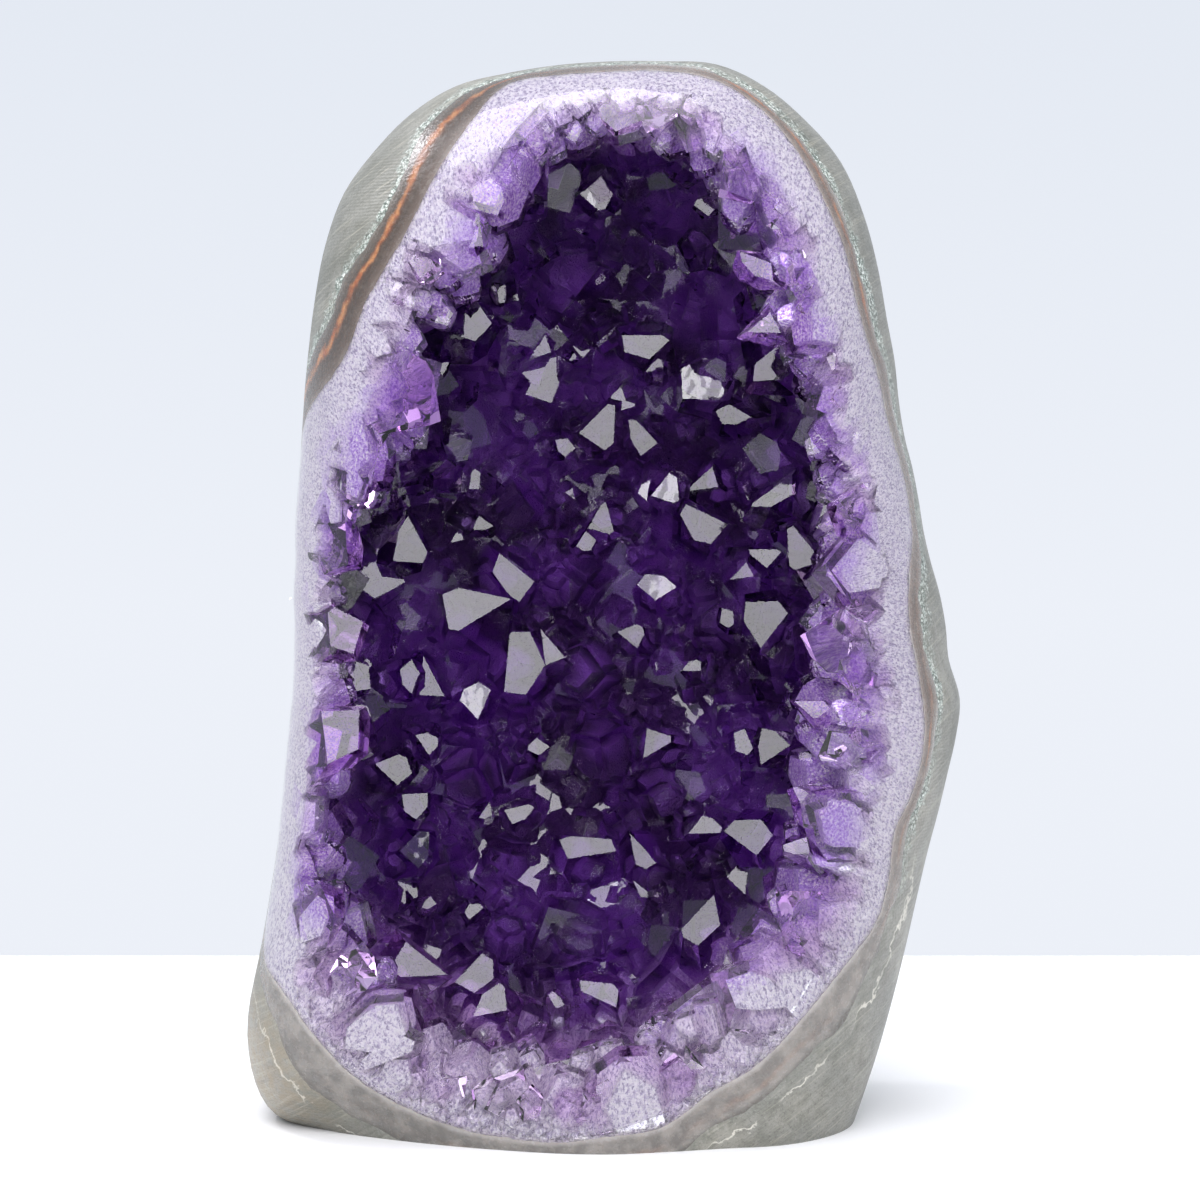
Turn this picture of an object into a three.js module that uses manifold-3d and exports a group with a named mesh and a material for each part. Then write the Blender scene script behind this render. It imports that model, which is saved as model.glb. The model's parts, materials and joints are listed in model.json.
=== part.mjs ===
// Amethyst geode, cut-base ("standing cathedral") form.
// A nodule of basalt is sawn flat underneath so that it stands upright, and its
// front is ground and polished to a convex dome.  The dome shows the wall in
// section: basalt rind, agate band, quartz comb; the hollow behind it is lined
// with amethyst points.
//
// Millimetres, +Z up, the open hollow faces -Y.
// Origin: on the sawn base, at the middle of the stone's bounding box.

import * as THREE from 'three';
import { mergeVertices } from 'three/addons/utils/BufferGeometryUtils.js';
import Module from 'manifold-3d';

const wasm = await Module();
wasm.setup();

// ---------------------------------------------------------------------------
// Driving dimensions
// ---------------------------------------------------------------------------
const AXIS_X = 2.0;            // axis of the nodule, along Y, in the working frame
const AXIS_Z = 100.0;
const ORIGIN_X = 0.576;         // working frame to part frame
const ORIGIN_Y = 4.355;

const DOME_RISE = 53.0;        // how far the polished front crowns forward of the rim
const DOME_POWER = 2.35;       // its fullness: 2 is an ellipsoid, more is flatter
const BACK_RISE = 54.0;        // how far the rough back bulges behind the rim
const BACK_POWER = 2.5;
const BACK_BUMP = 1.5;         // relief of the natural basalt skin

const SHELL_START = -28.0;     // the inner layers run straight in front of this Y
const SHELL_POWER = 2.3;       // and close behind it as a superellipse
const QUARTZ_DEPTH = 70.0;     // SHELL_START to the deepest point of the quartz
const AGATE_DEPTH = 74.5;      // SHELL_START to the deepest point of the agate
const LAYER_GAP = 0.3;         // parting between two layers
const POINT_RELIEF = 4.5;      // tips to the massive quartz that the points stand on

const TIP_START = -34.0;       // the surface through the points' tips: straight in
const TIP_DEPTH = 46.0;        // front of TIP_START, closing behind it
const TIP_POWER = 2.2;
const TIP_FRONT = -50.0;

const PYRAMID_ANGLE = 51.79 * Math.PI / 180;  // rhombohedron face normal to c-axis
const ROOT_COVER = 3.5;        // massive quartz left behind each point's root
const POINT_SPACING = 1.9;   // between tips, in half widths
const POINT_RADIUS = [5.4, 8.2];  // half width across flats of the scattered points
const POINT_TILT = 0.42;       // largest lean away from the wall's normal, radians
const FACE_BEVEL = [52, 80];   // from a broad face to the faces beside it, degrees
const POINT_SEED = 20117;
const POINT_TRIES = 5200;

// Radii about the axis, every 360/64 degrees, from +X through +Z.
// Widest outline of the stone.
const R_STONE = [
  62.3, 60.9, 60.4, 60.9, 61.8, 63.0, 65.5, 69.4, 73.7, 79.5, 85.9, 92.1, 96.3, 99.8, 101.6, 100.7,
  100.2, 100.0, 99.9, 99.9, 97.9, 94.5, 90.6, 84.9, 78.9, 73.7, 69.5, 66.1, 63.6, 62.0, 60.9, 60.0,
  60.1, 60.2, 61.2, 63.0, 66.0, 70.0, 75.3, 82.7, 93.7, 109.0, 117.6, 117.1, 119.0, 123.8, 130.9, 139.4,
  141.9, 134.5, 127.2, 124.2, 114.9, 104.5, 95.5, 88.1, 82.2, 77.8, 74.8, 72.5, 70.9, 69.2, 65.4, 63.8];
// Outside of the quartz (inside of the agate band), near the front.
const R_QUARTZ = [
  54.2, 54.9, 56.7, 57.6, 58.5, 59.4, 60.8, 63.4, 66.2, 70.3, 76.5, 82.2, 88.6, 93.9, 97.2, 98.0,
  97.4, 97.2, 96.9, 89.8, 83.1, 76.7, 72.6, 69.7, 66.4, 65.0, 65.6, 66.2, 64.7, 63.2, 62.1, 61.4,
  61.3, 61.6, 62.6, 64.3, 67.3, 71.3, 76.6, 83.6, 92.9, 93.8, 96.3, 99.2, 100.2, 100.3, 99.4, 98.3,
  96.5, 95.5, 90.8, 88.2, 84.6, 81.1, 78.6, 76.5, 71.9, 67.0, 65.8, 64.3, 62.0, 59.0, 56.6, 54.6];
// Outside of the agate (inside of the basalt), near the front.
const R_AGATE = [
  56.9, 57.8, 58.7, 59.6, 60.5, 61.4, 62.8, 66.1, 68.5, 73.5, 79.1, 85.3, 91.3, 95.9, 99.2, 100.0,
  99.4, 99.2, 98.9, 96.7, 91.6, 83.3, 78.4, 76.0, 72.6, 71.5, 71.7, 70.6, 68.2, 66.6, 65.5, 64.8,
  64.7, 65.0, 66.0, 67.7, 70.7, 74.7, 80.0, 87.6, 94.9, 99.0, 103.8, 106.9, 107.2, 106.6, 105.4, 104.2,
  103.2, 101.9, 97.4, 94.7, 90.7, 88.5, 83.7, 79.4, 75.2, 69.9, 67.8, 66.3, 64.2, 62.5, 59.3, 57.5];
// The ring of tips around the mouth of the hollow.
const R_MOUTH = [
  35.4, 36.3, 37.5, 38.7, 40.0, 41.5, 43.0, 44.7, 47.9, 51.4, 53.5, 56.0, 61.2, 71.7, 79.3, 81.3,
  81.2, 80.8, 74.1, 65.6, 61.1, 58.2, 55.5, 48.7, 45.6, 43.6, 43.7, 44.1, 44.6, 45.4, 46.3, 47.1,
  47.7, 48.3, 48.6, 49.1, 50.6, 52.7, 57.9, 65.3, 69.1, 72.3, 75.3, 79.0, 82.2, 83.1, 82.7, 80.9,
  79.0, 76.3, 72.4, 68.1, 63.9, 59.9, 56.1, 52.3, 48.3, 43.8, 40.9, 38.3, 36.7, 35.4, 34.4, 34.8];

// The main points.  Each row is one broad terminal face: its middle (x, y, z), which
// way it faces (degrees left or right of straight forward, degrees above level), and
// its corners in its own plane (right, up), anticlockwise.
const MAIN_FACES = [
  [-0.1, -13.5, 174.1, 4, 14, -3.6, 0.5, -0.3, -2.6, 1, -2.4, 2.5, 0.5, 0.4, 4],
  [19.4, -20.8, 172, -9, 17, 1, 1.4, -1.6, 1.2, -2.1, 0.1, 0.6, -2.1, 2, -0.6],
  [9.4, -7.2, 169.2, 8, 20, -1.3, 0.6, -1.5, 0.2, 0.3, -1.8, 1.4, 0.3, 1, 0.7],
  [28, -38.5, 159.9, -12, 15, 3.2, -2.6, 2.7, 0.6, -3.1, 2.9, -2.6, 0.9, -0.1, -1.8],
  [-25, -25, 150.1, 13, 21, -3.6, -1.7, 2, -3.4, 5.3, -0, 2.6, 4.9, -6.3, 0.3],
  [29.8, -39.1, 149.3, -6, 13, 2.7, -1.4, 0.7, 2.5, -3.4, -1.2],
  [32.1, -23.5, 142.4, -11, 18, 4.3, 0.1, 1.5, 5, -3.7, 0.4, -3.9, -2.9, 1.7, -2.6],
  [8.7, 5, 147.2, -3, 13, 4.6, 0.8, 3.2, 1.8, -4.5, 1.8, -4, -1.5, 0.8, -2.9],
  [10.8, 6.2, 142.2, 10, 12, 1, -2.3, 1.6, 2.1, 0.1, 2.4, -2, -0.1, -0.7, -2.1],
  [-5.1, 5, 144.6, 6, 14, -0.8, -0.4, -0.6, -0.6, 0.5, -0.2, 0.7, 0.4, 0.2, 1],
  [0.8, 9.5, 131.4, 5, 15, 0.8, 4.6, -4.9, -1.2, 0, -4.6, 1.8, -3.2, 2.2, 4.4],
  [7.5, 9.5, 129.7, -8, 16, -0.7, 3.2, -2.1, 3.2, -1.5, -0.8, 0.5, -4, 3.7, -1.4],
  [-6.9, 8.5, 127.6, 12, 13, -1.7, 1.4, -1.2, -0.8, 0.1, -2, 2.2, -0.2, 0.7, 1.6],
  [24.8, -2.5, 133.4, -10, 12, 1.1, -1.6, 3.9, -0.2, -0.4, 2.3, -3, 1, -1.6, -1.5],
  [13.5, 9, 119.3, 2, 18, 0.7, -2.6, 1.7, -2, 1.4, 2.4, -0.1, 3.4, -3.7, -1.2],
  [19.7, 5.2, 120.7, -13, 14, -2.4, -1.6, 3.1, -0.8, 1.7, 3.2, -2.4, -0.8],
  [32.4, -7.2, 118.1, -7, 20, 3.7, 4.5, -3.5, -1.1, -3.9, -1.9, -0.1, -1.9, 3.8, 0.5],
  [19.2, 7.2, 112.5, 7, 14, -3.8, 2.2, -1.2, -2.9, 2, -3.7, 5.5, 0.2, -2.5, 4.2],
  [0.7, 11.8, 113.4, -9, 17, 1.3, -2.8, 2.1, -2.2, 0.3, 3.6, -0.7, 3, -3, -1.6],
  [-2.6, 11.5, 108.9, 11, 13, -2.1, -0.5, -0.7, -1.5, 0.9, -1.3, 1.9, 0.7, 0, 2.5],
  [-22.8, 3.5, 112.5, 9, 19, -0.3, 2, -1.5, -0.4, -1.3, -0.8, 0.8, -0.8, 2.4, -0],
  [-35.8, -7.2, 109.2, 12, 15, -2, 2.8, -3.4, -3.2, 2.3, -3.6, 3.3, -1.5, -0.2, 5.5],
  [36.4, -22.5, 108.5, -13, 17, -0.1, -3.7, 4.7, -2, -1.1, 4.7, -2.2, 4.1, -1.3, -3.1],
  [31.2, -4, 107.2, -4, 13, 0.4, -2.6, 3.1, 0.5, 2.3, 1, -3, 1, -2.8, 0.1],
  [-17.2, 9, 101.8, 8, 16, -3.5, 1.7, -0.5, -2.8, 1.5, -4.2, 4.6, -0.2, -2.1, 5.5],
  [-26.2, 6.2, 96.6, 3, 14, -2.9, -4.1, -1, -4.4, 9.1, 1.8, -1, 4, -4.1, 2.7],
  [10.8, 11, 101, -7, 19, -3.7, -0.1, 0.1, -3.2, 4.1, -0.5, 1.5, 1.7, -2, 2.1],
  [30.8, -7, 95.5, -12, 15, -0.2, -6, 4.7, 0.8, 2.7, 3.1, -3.5, 2.9, -3.7, -0.8],
  [-14.9, 10.2, 85.8, 6, 17, -3.8, -5.7, 0.4, -6.3, 4.3, -0.4, 1.5, 6.2, -2.4, 6.2],
  [-9.6, 11.2, 88.2, -5, 13, -0.9, -2.9, 2.9, -1.4, -2, 4.2],
  [6.9, 11.8, 91.5, -10, 18, 1.7, -0.2, 1.4, 1.2, 0, 1.8, -3.6, 0.2, 0.5, -3],
  [-32.7, -0.8, 82.7, 12, 14, -2.3, -2.3, 3, -2.7, -0.7, 5.1],
  [-24.2, 7, 79.6, 5, 19, 0.6, -4.6, 3.2, 1.2, 0.9, 2.8, -2, 1.4, -2.8, -0.8],
  [-36.2, -4.8, 84.2, 9, 13, -1.2, -1.7, 0.4, -3.4, 2, 0.6, 0.6, 3.2, -1.7, 1.2],
  [-49, -32.4, 74.3, 14, 20, 5.6, 5.5, -3.5, 5.4, -4.2, -3.4, -2.8, -5.5, 4.9, -1.9],
  [-38.4, -4.2, 66.9, 10, 15, 2.7, -1.3, 1.7, 1.8, 0.2, 2.4, -4.3, 0.6, -0.2, -3.5],
  [-32.6, 1.2, 71.3, 4, 18, -2.7, 1.3, -0.1, -2.7, 1.6, -0.9, 1.6, 0.7, -0.4, 1.7],
  [-12.3, 9.2, 69.6, -4, 14, -1.7, -0.6, 0.5, -1.6, 2.6, 0, 0, 1.8, -1.5, 0.4],
  [11.2, 8.2, 70.8, -8, 15, -2.8, -3.4, 2.5, -0.2, 2.5, 1, -2.2, 2.5],
  [27.3, -0.5, 71.1, -3, 19, -1.4, -1.5, 0.9, -2.3, 1.9, -1.1, 0.3, 2.8, -1.8, 2],
  [31.8, -11.2, 72, -12, 14, -1.4, -4.1, 4, -0.4, 1, 2.3, -1.5, 2.8, -2.1, -0.6],
  [-35.1, -2.8, 59.5, 11, 18, -2.5, 2.1, -2.2, -1.2, -0, -2.8, 2.2, -0.5, 2.5, 2.3],
  [-34.3, -6, 51.7, 6, 15, 0.1, 3.2, -3.6, -0.6, -0.2, -3.9, 1.7, -1.8, 2, 3],
  [-15.2, 5.8, 57.1, -2, 20, -1.7, -2.2, 0.8, -1.2, 2.5, 1, 1.7, 1.8, -3.3, 0.6],
  [-2.9, 4.2, 51.1, 7, 21, 6, -1.3, 5.1, 1.1, -2.8, 1.8, -4.9, 1.1, -3.4, -2.7],
  [8.1, 2.2, 49.3, -9, 16, 2.7, -1.4, 0.2, 1.5, -2.6, 4.2, -1.2, -1.7, 0.8, -2.6],
  [20.8, -1.2, 55.4, -4, 21, -3.9, -1.6, 2.2, -1.4, 2.5, -0.4, 0.6, 1.5, -1.3, 1.9],
  [28.2, -10.5, 55.1, -10, 17, 2, 2.5, -3.1, 2.2, -4.9, 0.1, 1.5, -4.4, 4.4, -0.5],
  [37.4, -46.2, 63.8, -13, 19, -2.5, 3.2, -3.2, 3, 0.6, -4.1, 2.5, -2.8, 2.5, 0.7],
  [35.6, -41.3, 55.4, -7, 14, -2.5, -0.5, 1.6, -1.7, 2.1, -0.6, 1.5, 2.1, -2.7, 0.6],
  [-32.4, -9, 41.4, 10, 20, -0.1, -1, 1.6, -0.1, 0.4, 1.5, -0.6, 0.5, -1.3, -0.8],
  [-24.1, -4.5, 39.7, 4, 16, -0.8, -1.9, 1.9, 0.3, 1.3, 1.1, -0.8, 1.1, -1.6, -0.6],
  [18.6, -14.8, 37.9, -9, 20, -3, -2.1, -0.1, -3.7, 3.9, 0.3, 2.5, 6.1, -3.3, -0.6],
  [-34.9, -24.2, 31.8, 9, 22, -2, -2.1, 6.7, -1.9, -0.8, 4.5, -4, -0.5],
  [-22.5, -13.5, 28.6, 12, 18, -0.8, -3.7, 2.5, -1.7, 2.6, 2.7, 0.6, 4, -4.9, -1.3],
  [-19.9, -17.8, 24.8, 2, 21, 1.2, 2.9, -2, 0.8, -3.8, -3.5, 2.5, -2.3, 2.1, 2.1],
  [0.3, -15.2, 25.8, -5, 20, 2.1, 1.3, -4.2, 2, -3.9, -0.1, 2.8, -3.1, 3.2, -0],
  [38.7, -42.3, 80.6, -12, 16, -4, 1.4, -0.4, -1.7, 0.6, -1.5, 2.6, 0.2, 1.2, 1.5],
  [18.1, 8.2, 85.5, -6, 14, -2.4, -1.1, 1.3, -1.1, 1.4, 0.5, 0.6, 1.1, -0.9, 0.7],
  [24.4, 2.8, 94.7, 5, 13, 0.2, -1.8, 1.2, -1, 1.1, 1.5, -1, 2.1, -1.5, -0.8],
  [-47.1, -30.5, 94.5, 13, 17, -2.3, -3.3, 1.9, -4.8, 4, 1.2, -1.2, 4, -2.4, 2.9],
  [-21.7, 4, 57.5, 8, 14, -0.5, -1.3, 0.9, -0.6, 0.8, 1.2, 0.4, 1.8, -1.6, -1.1],
  [-8.2, -14.5, 24.1, 3, 18, 1.6, -1.1, 0.5, 0.6, -0.6, 1.5, -1.5, 0.8, -0.1, -1.7],
  [-28.6, -23.8, 142.1, 10, 19, -0.7, -1.4, -0.3, -1.4, 0.9, 0.9, 0.8, 1.1, -0.7, 0.9],
  [-18.4, -15.5, 156.1, 7, 15, 0.5, -1.9, 0.8, 1.6, -0.3, 2, -0.6, 0.2, -0.4, -1.9]];

// ---------------------------------------------------------------------------
// Small helpers
// ---------------------------------------------------------------------------
function randomStream(seed) {
  let s = seed >>> 0;
  return () => {
    s = (Math.imul(s, 1664525) + 1013904223) >>> 0;
    return (s >>> 8) / 16777216;
  };
}

const dot = (a, b) => a[0] * b[0] + a[1] * b[1] + a[2] * b[2];
const mix = (a, ka, b, kb) => [a[0] * ka + b[0] * kb, a[1] * ka + b[1] * kb, a[2] * ka + b[2] * kb];
const cross = (a, b) => [a[1] * b[2] - a[2] * b[1], a[2] * b[0] - a[0] * b[2], a[0] * b[1] - a[1] * b[0]];
const unit = (a) => { const l = Math.sqrt(dot(a, a)); return [a[0] / l, a[1] / l, a[2] / l]; };
const distance = (a, b) => Math.sqrt((a[0] - b[0]) ** 2 + (a[1] - b[1]) ** 2 + (a[2] - b[2]) ** 2);

// Catmull-Rom reading of a closed table of radii.
function radiusAt(table, angle) {
  const n = table.length;
  const turn = angle / (2 * Math.PI);
  const s = (turn - Math.floor(turn)) * n;
  const i = Math.floor(s);
  const f = s - i;
  const p0 = table[(i + n - 1) % n], p1 = table[i % n], p2 = table[(i + 1) % n], p3 = table[(i + 2) % n];
  return p1 + 0.5 * f * (p2 - p0 + f * (2 * p0 - 5 * p1 + 4 * p2 - p3 + f * (3 * (p1 - p2) + p3 - p0)));
}

function toSolid(geometry) {
  const g = geometry.clone();
  g.deleteAttribute('normal');
  g.deleteAttribute('uv');
  const merged = mergeVertices(g, 1e-4);
  return new wasm.Manifold(new wasm.Mesh({
    numProp: 3,
    vertProperties: new Float32Array(merged.attributes.position.array),
    triVerts: new Uint32Array(merged.index.array),
  }));
}

function toGeometry(solid) {
  const m = solid.getMesh();
  const n = m.numProp;
  const xyz = new Float32Array(m.vertProperties.length / n * 3);
  for (let i = 0; i < xyz.length / 3; i++) {
    for (let k = 0; k < 3; k++) xyz[3 * i + k] = m.vertProperties[n * i + k];
  }
  const g = new THREE.BufferGeometry();
  g.setAttribute('position', new THREE.BufferAttribute(xyz, 3));
  g.setIndex(new THREE.BufferAttribute(new Uint32Array(m.triVerts), 1));
  g.computeVertexNormals();
  return g;
}

// A closed surface round the stone's axis, from a sphere whose rings of latitude
// are moved to given profiles: rows[j](angle) gives [radius, y].
function ringSurface(segments, rows) {
  const g = new THREE.SphereGeometry(1, segments, rows.length - 1);
  const p = g.attributes.position;
  for (let j = 0; j < rows.length; j++) {
    for (let i = 0; i <= segments; i++) {
      const a = 2 * Math.PI * (i % segments) / segments;
      const [r, y] = rows[j](a);
      // SphereGeometry starts at its +Y pole and turns from -X through +Z
      p.setXYZ(j * (segments + 1) + i, AXIS_X - r * Math.cos(a), y, AXIS_Z + r * Math.sin(a));
    }
  }
  return toSolid(g);
}

// ---------------------------------------------------------------------------
// The stone and its layers
// ---------------------------------------------------------------------------
const mirror = (a) => Math.PI - a;    // SphereGeometry's azimuth to the table's

// The back rounds off the outline's bumps as it closes.
function backRadius(a, t) {
  let soft = 0;
  for (let k = -3; k <= 3; k++) soft += radiusAt(R_STONE, a + 0.24 * k) * (4 - Math.abs(k)) / 16;
  const w = Math.pow(t, 5);
  return t * (radiusAt(R_STONE, a) * w + soft * (1 - w));
}

function skinRelief(a, t) {
  // low lumps of the natural skin, none at the rim
  const fade = Math.min(1, Math.max(0, (1 - t) * 7));
  const x = t * Math.cos(a), z = t * Math.sin(a);
  return BACK_BUMP * fade * (0.50 * Math.sin(5.1 * x + 1.3) * Math.cos(4.3 * z - 0.6)
    + 0.32 * Math.sin(9.7 * x - 7.9 * z + 2.1) + 0.18 * Math.cos(15.3 * z + 11.1 * x + 0.4));
}

function stoneSolid() {
  const rows = [];
  for (const t of [0, 0.36, 0.62, 0.8, 0.92, 0.98]) {
    rows.push((a) => {
      const q = mirror(a);
      return [backRadius(q, t), BACK_RISE * Math.pow(1 - Math.pow(t, BACK_POWER), 1 / BACK_POWER) + skinRelief(q, t)];
    });
  }
  rows.push((a) => [radiusAt(R_STONE, mirror(a)), 0]);
  for (const t of [0.985, 0.945, 0.87, 0.76, 0.55, 0]) {
    rows.push((a) => [t * radiusAt(R_STONE, mirror(a)), -DOME_RISE * Math.pow(1 - Math.pow(t, DOME_POWER), 1 / DOME_POWER)]);
  }
  return ringSurface(56, rows);
}

// A straight-walled bowl: from Y -70 to `start`, then closing over `depth`.
function bowlSolid(table, grow, start, depth, power, segments, stations) {
  const radius = (a) => radiusAt(table, mirror(a)) + grow;
  const rows = [() => [0, start + depth]];
  for (const e of stations) {
    rows.push((a) => [radius(a) * Math.pow(1 - Math.pow(e, power), 1 / power), start + depth * e]);
  }
  rows.push((a) => [radius(a), -70]);
  rows.push(() => [0, -70]);
  return ringSurface(segments, rows);
}
const shellSolid = (table, grow, depth) =>
  bowlSolid(table, grow, SHELL_START, depth, SHELL_POWER, 36, [0.96, 0.82, 0.58, 0.28, 0]);

const aboveBase = toSolid(new THREE.BoxGeometry(400, 400, 400).translate(0, 0, 200));
const stone = stoneSolid().intersect(aboveBase);

const quartzOuter = shellSolid(R_QUARTZ, 0, QUARTZ_DEPTH);
const agateInner = shellSolid(R_QUARTZ, LAYER_GAP, QUARTZ_DEPTH + LAYER_GAP);
const agateOuter = shellSolid(R_AGATE, 0, AGATE_DEPTH);
const basaltInner = shellSolid(R_AGATE, LAYER_GAP, AGATE_DEPTH + LAYER_GAP);
const combInner = bowlSolid(R_MOUTH, POINT_RELIEF, TIP_START, TIP_DEPTH + POINT_RELIEF, TIP_POWER, 24, [0.95, 0.78, 0.5, 0]);

// ---------------------------------------------------------------------------
// Amethyst points
// ---------------------------------------------------------------------------
// A point on the surface through the tips; s runs 0..1 from mouth to bottom.
const TUBE_SHARE = 0.22;
function tipSurface(a, s) {
  const R = radiusAt(R_MOUTH, a);
  let r = R, y = TIP_FRONT + (TIP_START - TIP_FRONT) * s / TUBE_SHARE;
  if (s > TUBE_SHARE) {
    const f = (s - TUBE_SHARE) / (1 - TUBE_SHARE) * Math.PI / 2;
    r = R * Math.pow(Math.max(0, Math.cos(f)), 2 / TIP_POWER);
    y = TIP_START + TIP_DEPTH * Math.pow(Math.sin(f), 2 / TIP_POWER);
  }
  return [AXIS_X + r * Math.cos(a), y, AXIS_Z + r * Math.sin(a)];
}

function tipLevel(p) {
  const dx = p[0] - AXIS_X, dz = p[2] - AXIS_Z;
  const R = radiusAt(R_MOUTH, Math.atan2(dz, dx));
  const e = Math.max(0, (p[1] - TIP_START) / TIP_DEPTH);
  return Math.pow(Math.sqrt(dx * dx + dz * dz) / R, TIP_POWER) + Math.pow(e, TIP_POWER);
}

// Normal of that surface, pointing into the hollow.
function inward(p) {
  const h = 0.5;
  return unit([
    tipLevel([p[0] - h, p[1], p[2]]) - tipLevel([p[0] + h, p[1], p[2]]),
    tipLevel([p[0], p[1] - h, p[2]]) - tipLevel([p[0], p[1] + h, p[2]]) - 1e-4,
    tipLevel([p[0], p[1], p[2] - h]) - tipLevel([p[0], p[1], p[2] + h])]);
}

// How far a point reaches back from its tip before its root is sunk in the comb.
function lengthToRoot(tip, axis) {
  for (let l = 4; l < 34; l += 0.5) {
    const x = tip[0] - l * axis[0] - AXIS_X, y = tip[1] - l * axis[1], z = tip[2] - l * axis[2] - AXIS_Z;
    const e = Math.max(0, (y - SHELL_START) / (QUARTZ_DEPTH - ROOT_COVER));
    const r = Math.sqrt(x * x + z * z) / (radiusAt(R_QUARTZ, Math.atan2(z, x)) - ROOT_COVER);
    if (Math.pow(r, SHELL_POWER) + Math.pow(e, SHELL_POWER) > 1) return l;
  }
  return 34;
}

// One quartz point as a list of bounding planes [normal, offset] about its tip.
function pointPlanes(tip, axis, across, half, shape) {
  const side = cross(axis, across);
  const planes = [];
  for (let i = 0; i < 6; i++) {
    const c = Math.cos(i * Math.PI / 3), s = Math.sin(i * Math.PI / 3);
    const out = mix(across, c, side, s);
    planes.push([out, half * shape.prism[i]]);
    planes.push([mix(out, Math.sin(PYRAMID_ANGLE), axis, Math.cos(PYRAMID_ANGLE)), half * shape.pyramid[i]]);
  }
  planes.push([[-axis[0], -axis[1], -axis[2]], lengthToRoot(tip, axis)]);
  return planes;
}

function convexSolid(origin, planes) {
  const positions = [];
  const corners = [];
  const n = planes.length;
  for (let i = 0; i < n; i++) for (let j = i + 1; j < n; j++) for (let k = j + 1; k < n; k++) {
    const [a, da] = planes[i], [b, db] = planes[j], [c, dc] = planes[k];
    const bc = cross(b, c);
    const det = dot(a, bc);
    if (Math.abs(det) < 1e-7) continue;
    const v = mix(mix(bc, da, cross(c, a), db), 1 / det, cross(a, b), dc / det);
    if (planes.every(([m, d]) => dot(m, v) <= d + 1e-6)) {
      if (!corners.some((w) => distance(v, w) < 1e-4)) corners.push(v);
    }
  }
  for (const [m, d] of planes) {
    const on = corners.filter((v) => Math.abs(dot(m, v) - d) < 1e-4);
    if (on.length < 3) continue;
    const mid = on.reduce((s, v) => mix(s, 1, v, 1 / on.length), [0, 0, 0]);
    const u = unit(mix(on[0], 1, mid, -1));
    const w = cross(m, u);
    const turn = (v) => Math.atan2(dot(mix(v, 1, mid, -1), w), dot(mix(v, 1, mid, -1), u));
    on.sort((p, q) => turn(p) - turn(q));
    for (let i = 1; i + 1 < on.length; i++) positions.push(on[0], on[i], on[i + 1]);
  }
  const g = new THREE.BufferGeometry();
  g.setAttribute('position', new THREE.Float32BufferAttribute(positions.flatMap((v) => mix(v, 1, origin, 1)), 3));
  return toSolid(g);
}

function scatteredShape(random) {
  const prism = [], pyramid = [];
  for (let i = 0; i < 6; i++) {
    prism.push(0.88 + 0.26 * random());
    pyramid.push(i % 2 === 0 ? 0.16 * random() - 0.08 : 0.20 + 0.45 * random());
  }
  return { prism, pyramid };
}

// A new point keeps its distance, and leaves the broad faces uncovered.
function tooClose(p, tip, half, spacing) {
  const gap = distance(p.tip, tip);
  if (!p.face) return gap < spacing * 0.5 * (p.half + half);
  const ahead = dot(p.face, mix(tip, 1, p.tip, -1));
  return gap < 0.6 * (p.half + half) || (ahead > -1 - 0.35 * half && gap < p.half + 0.9 * half);
}

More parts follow.
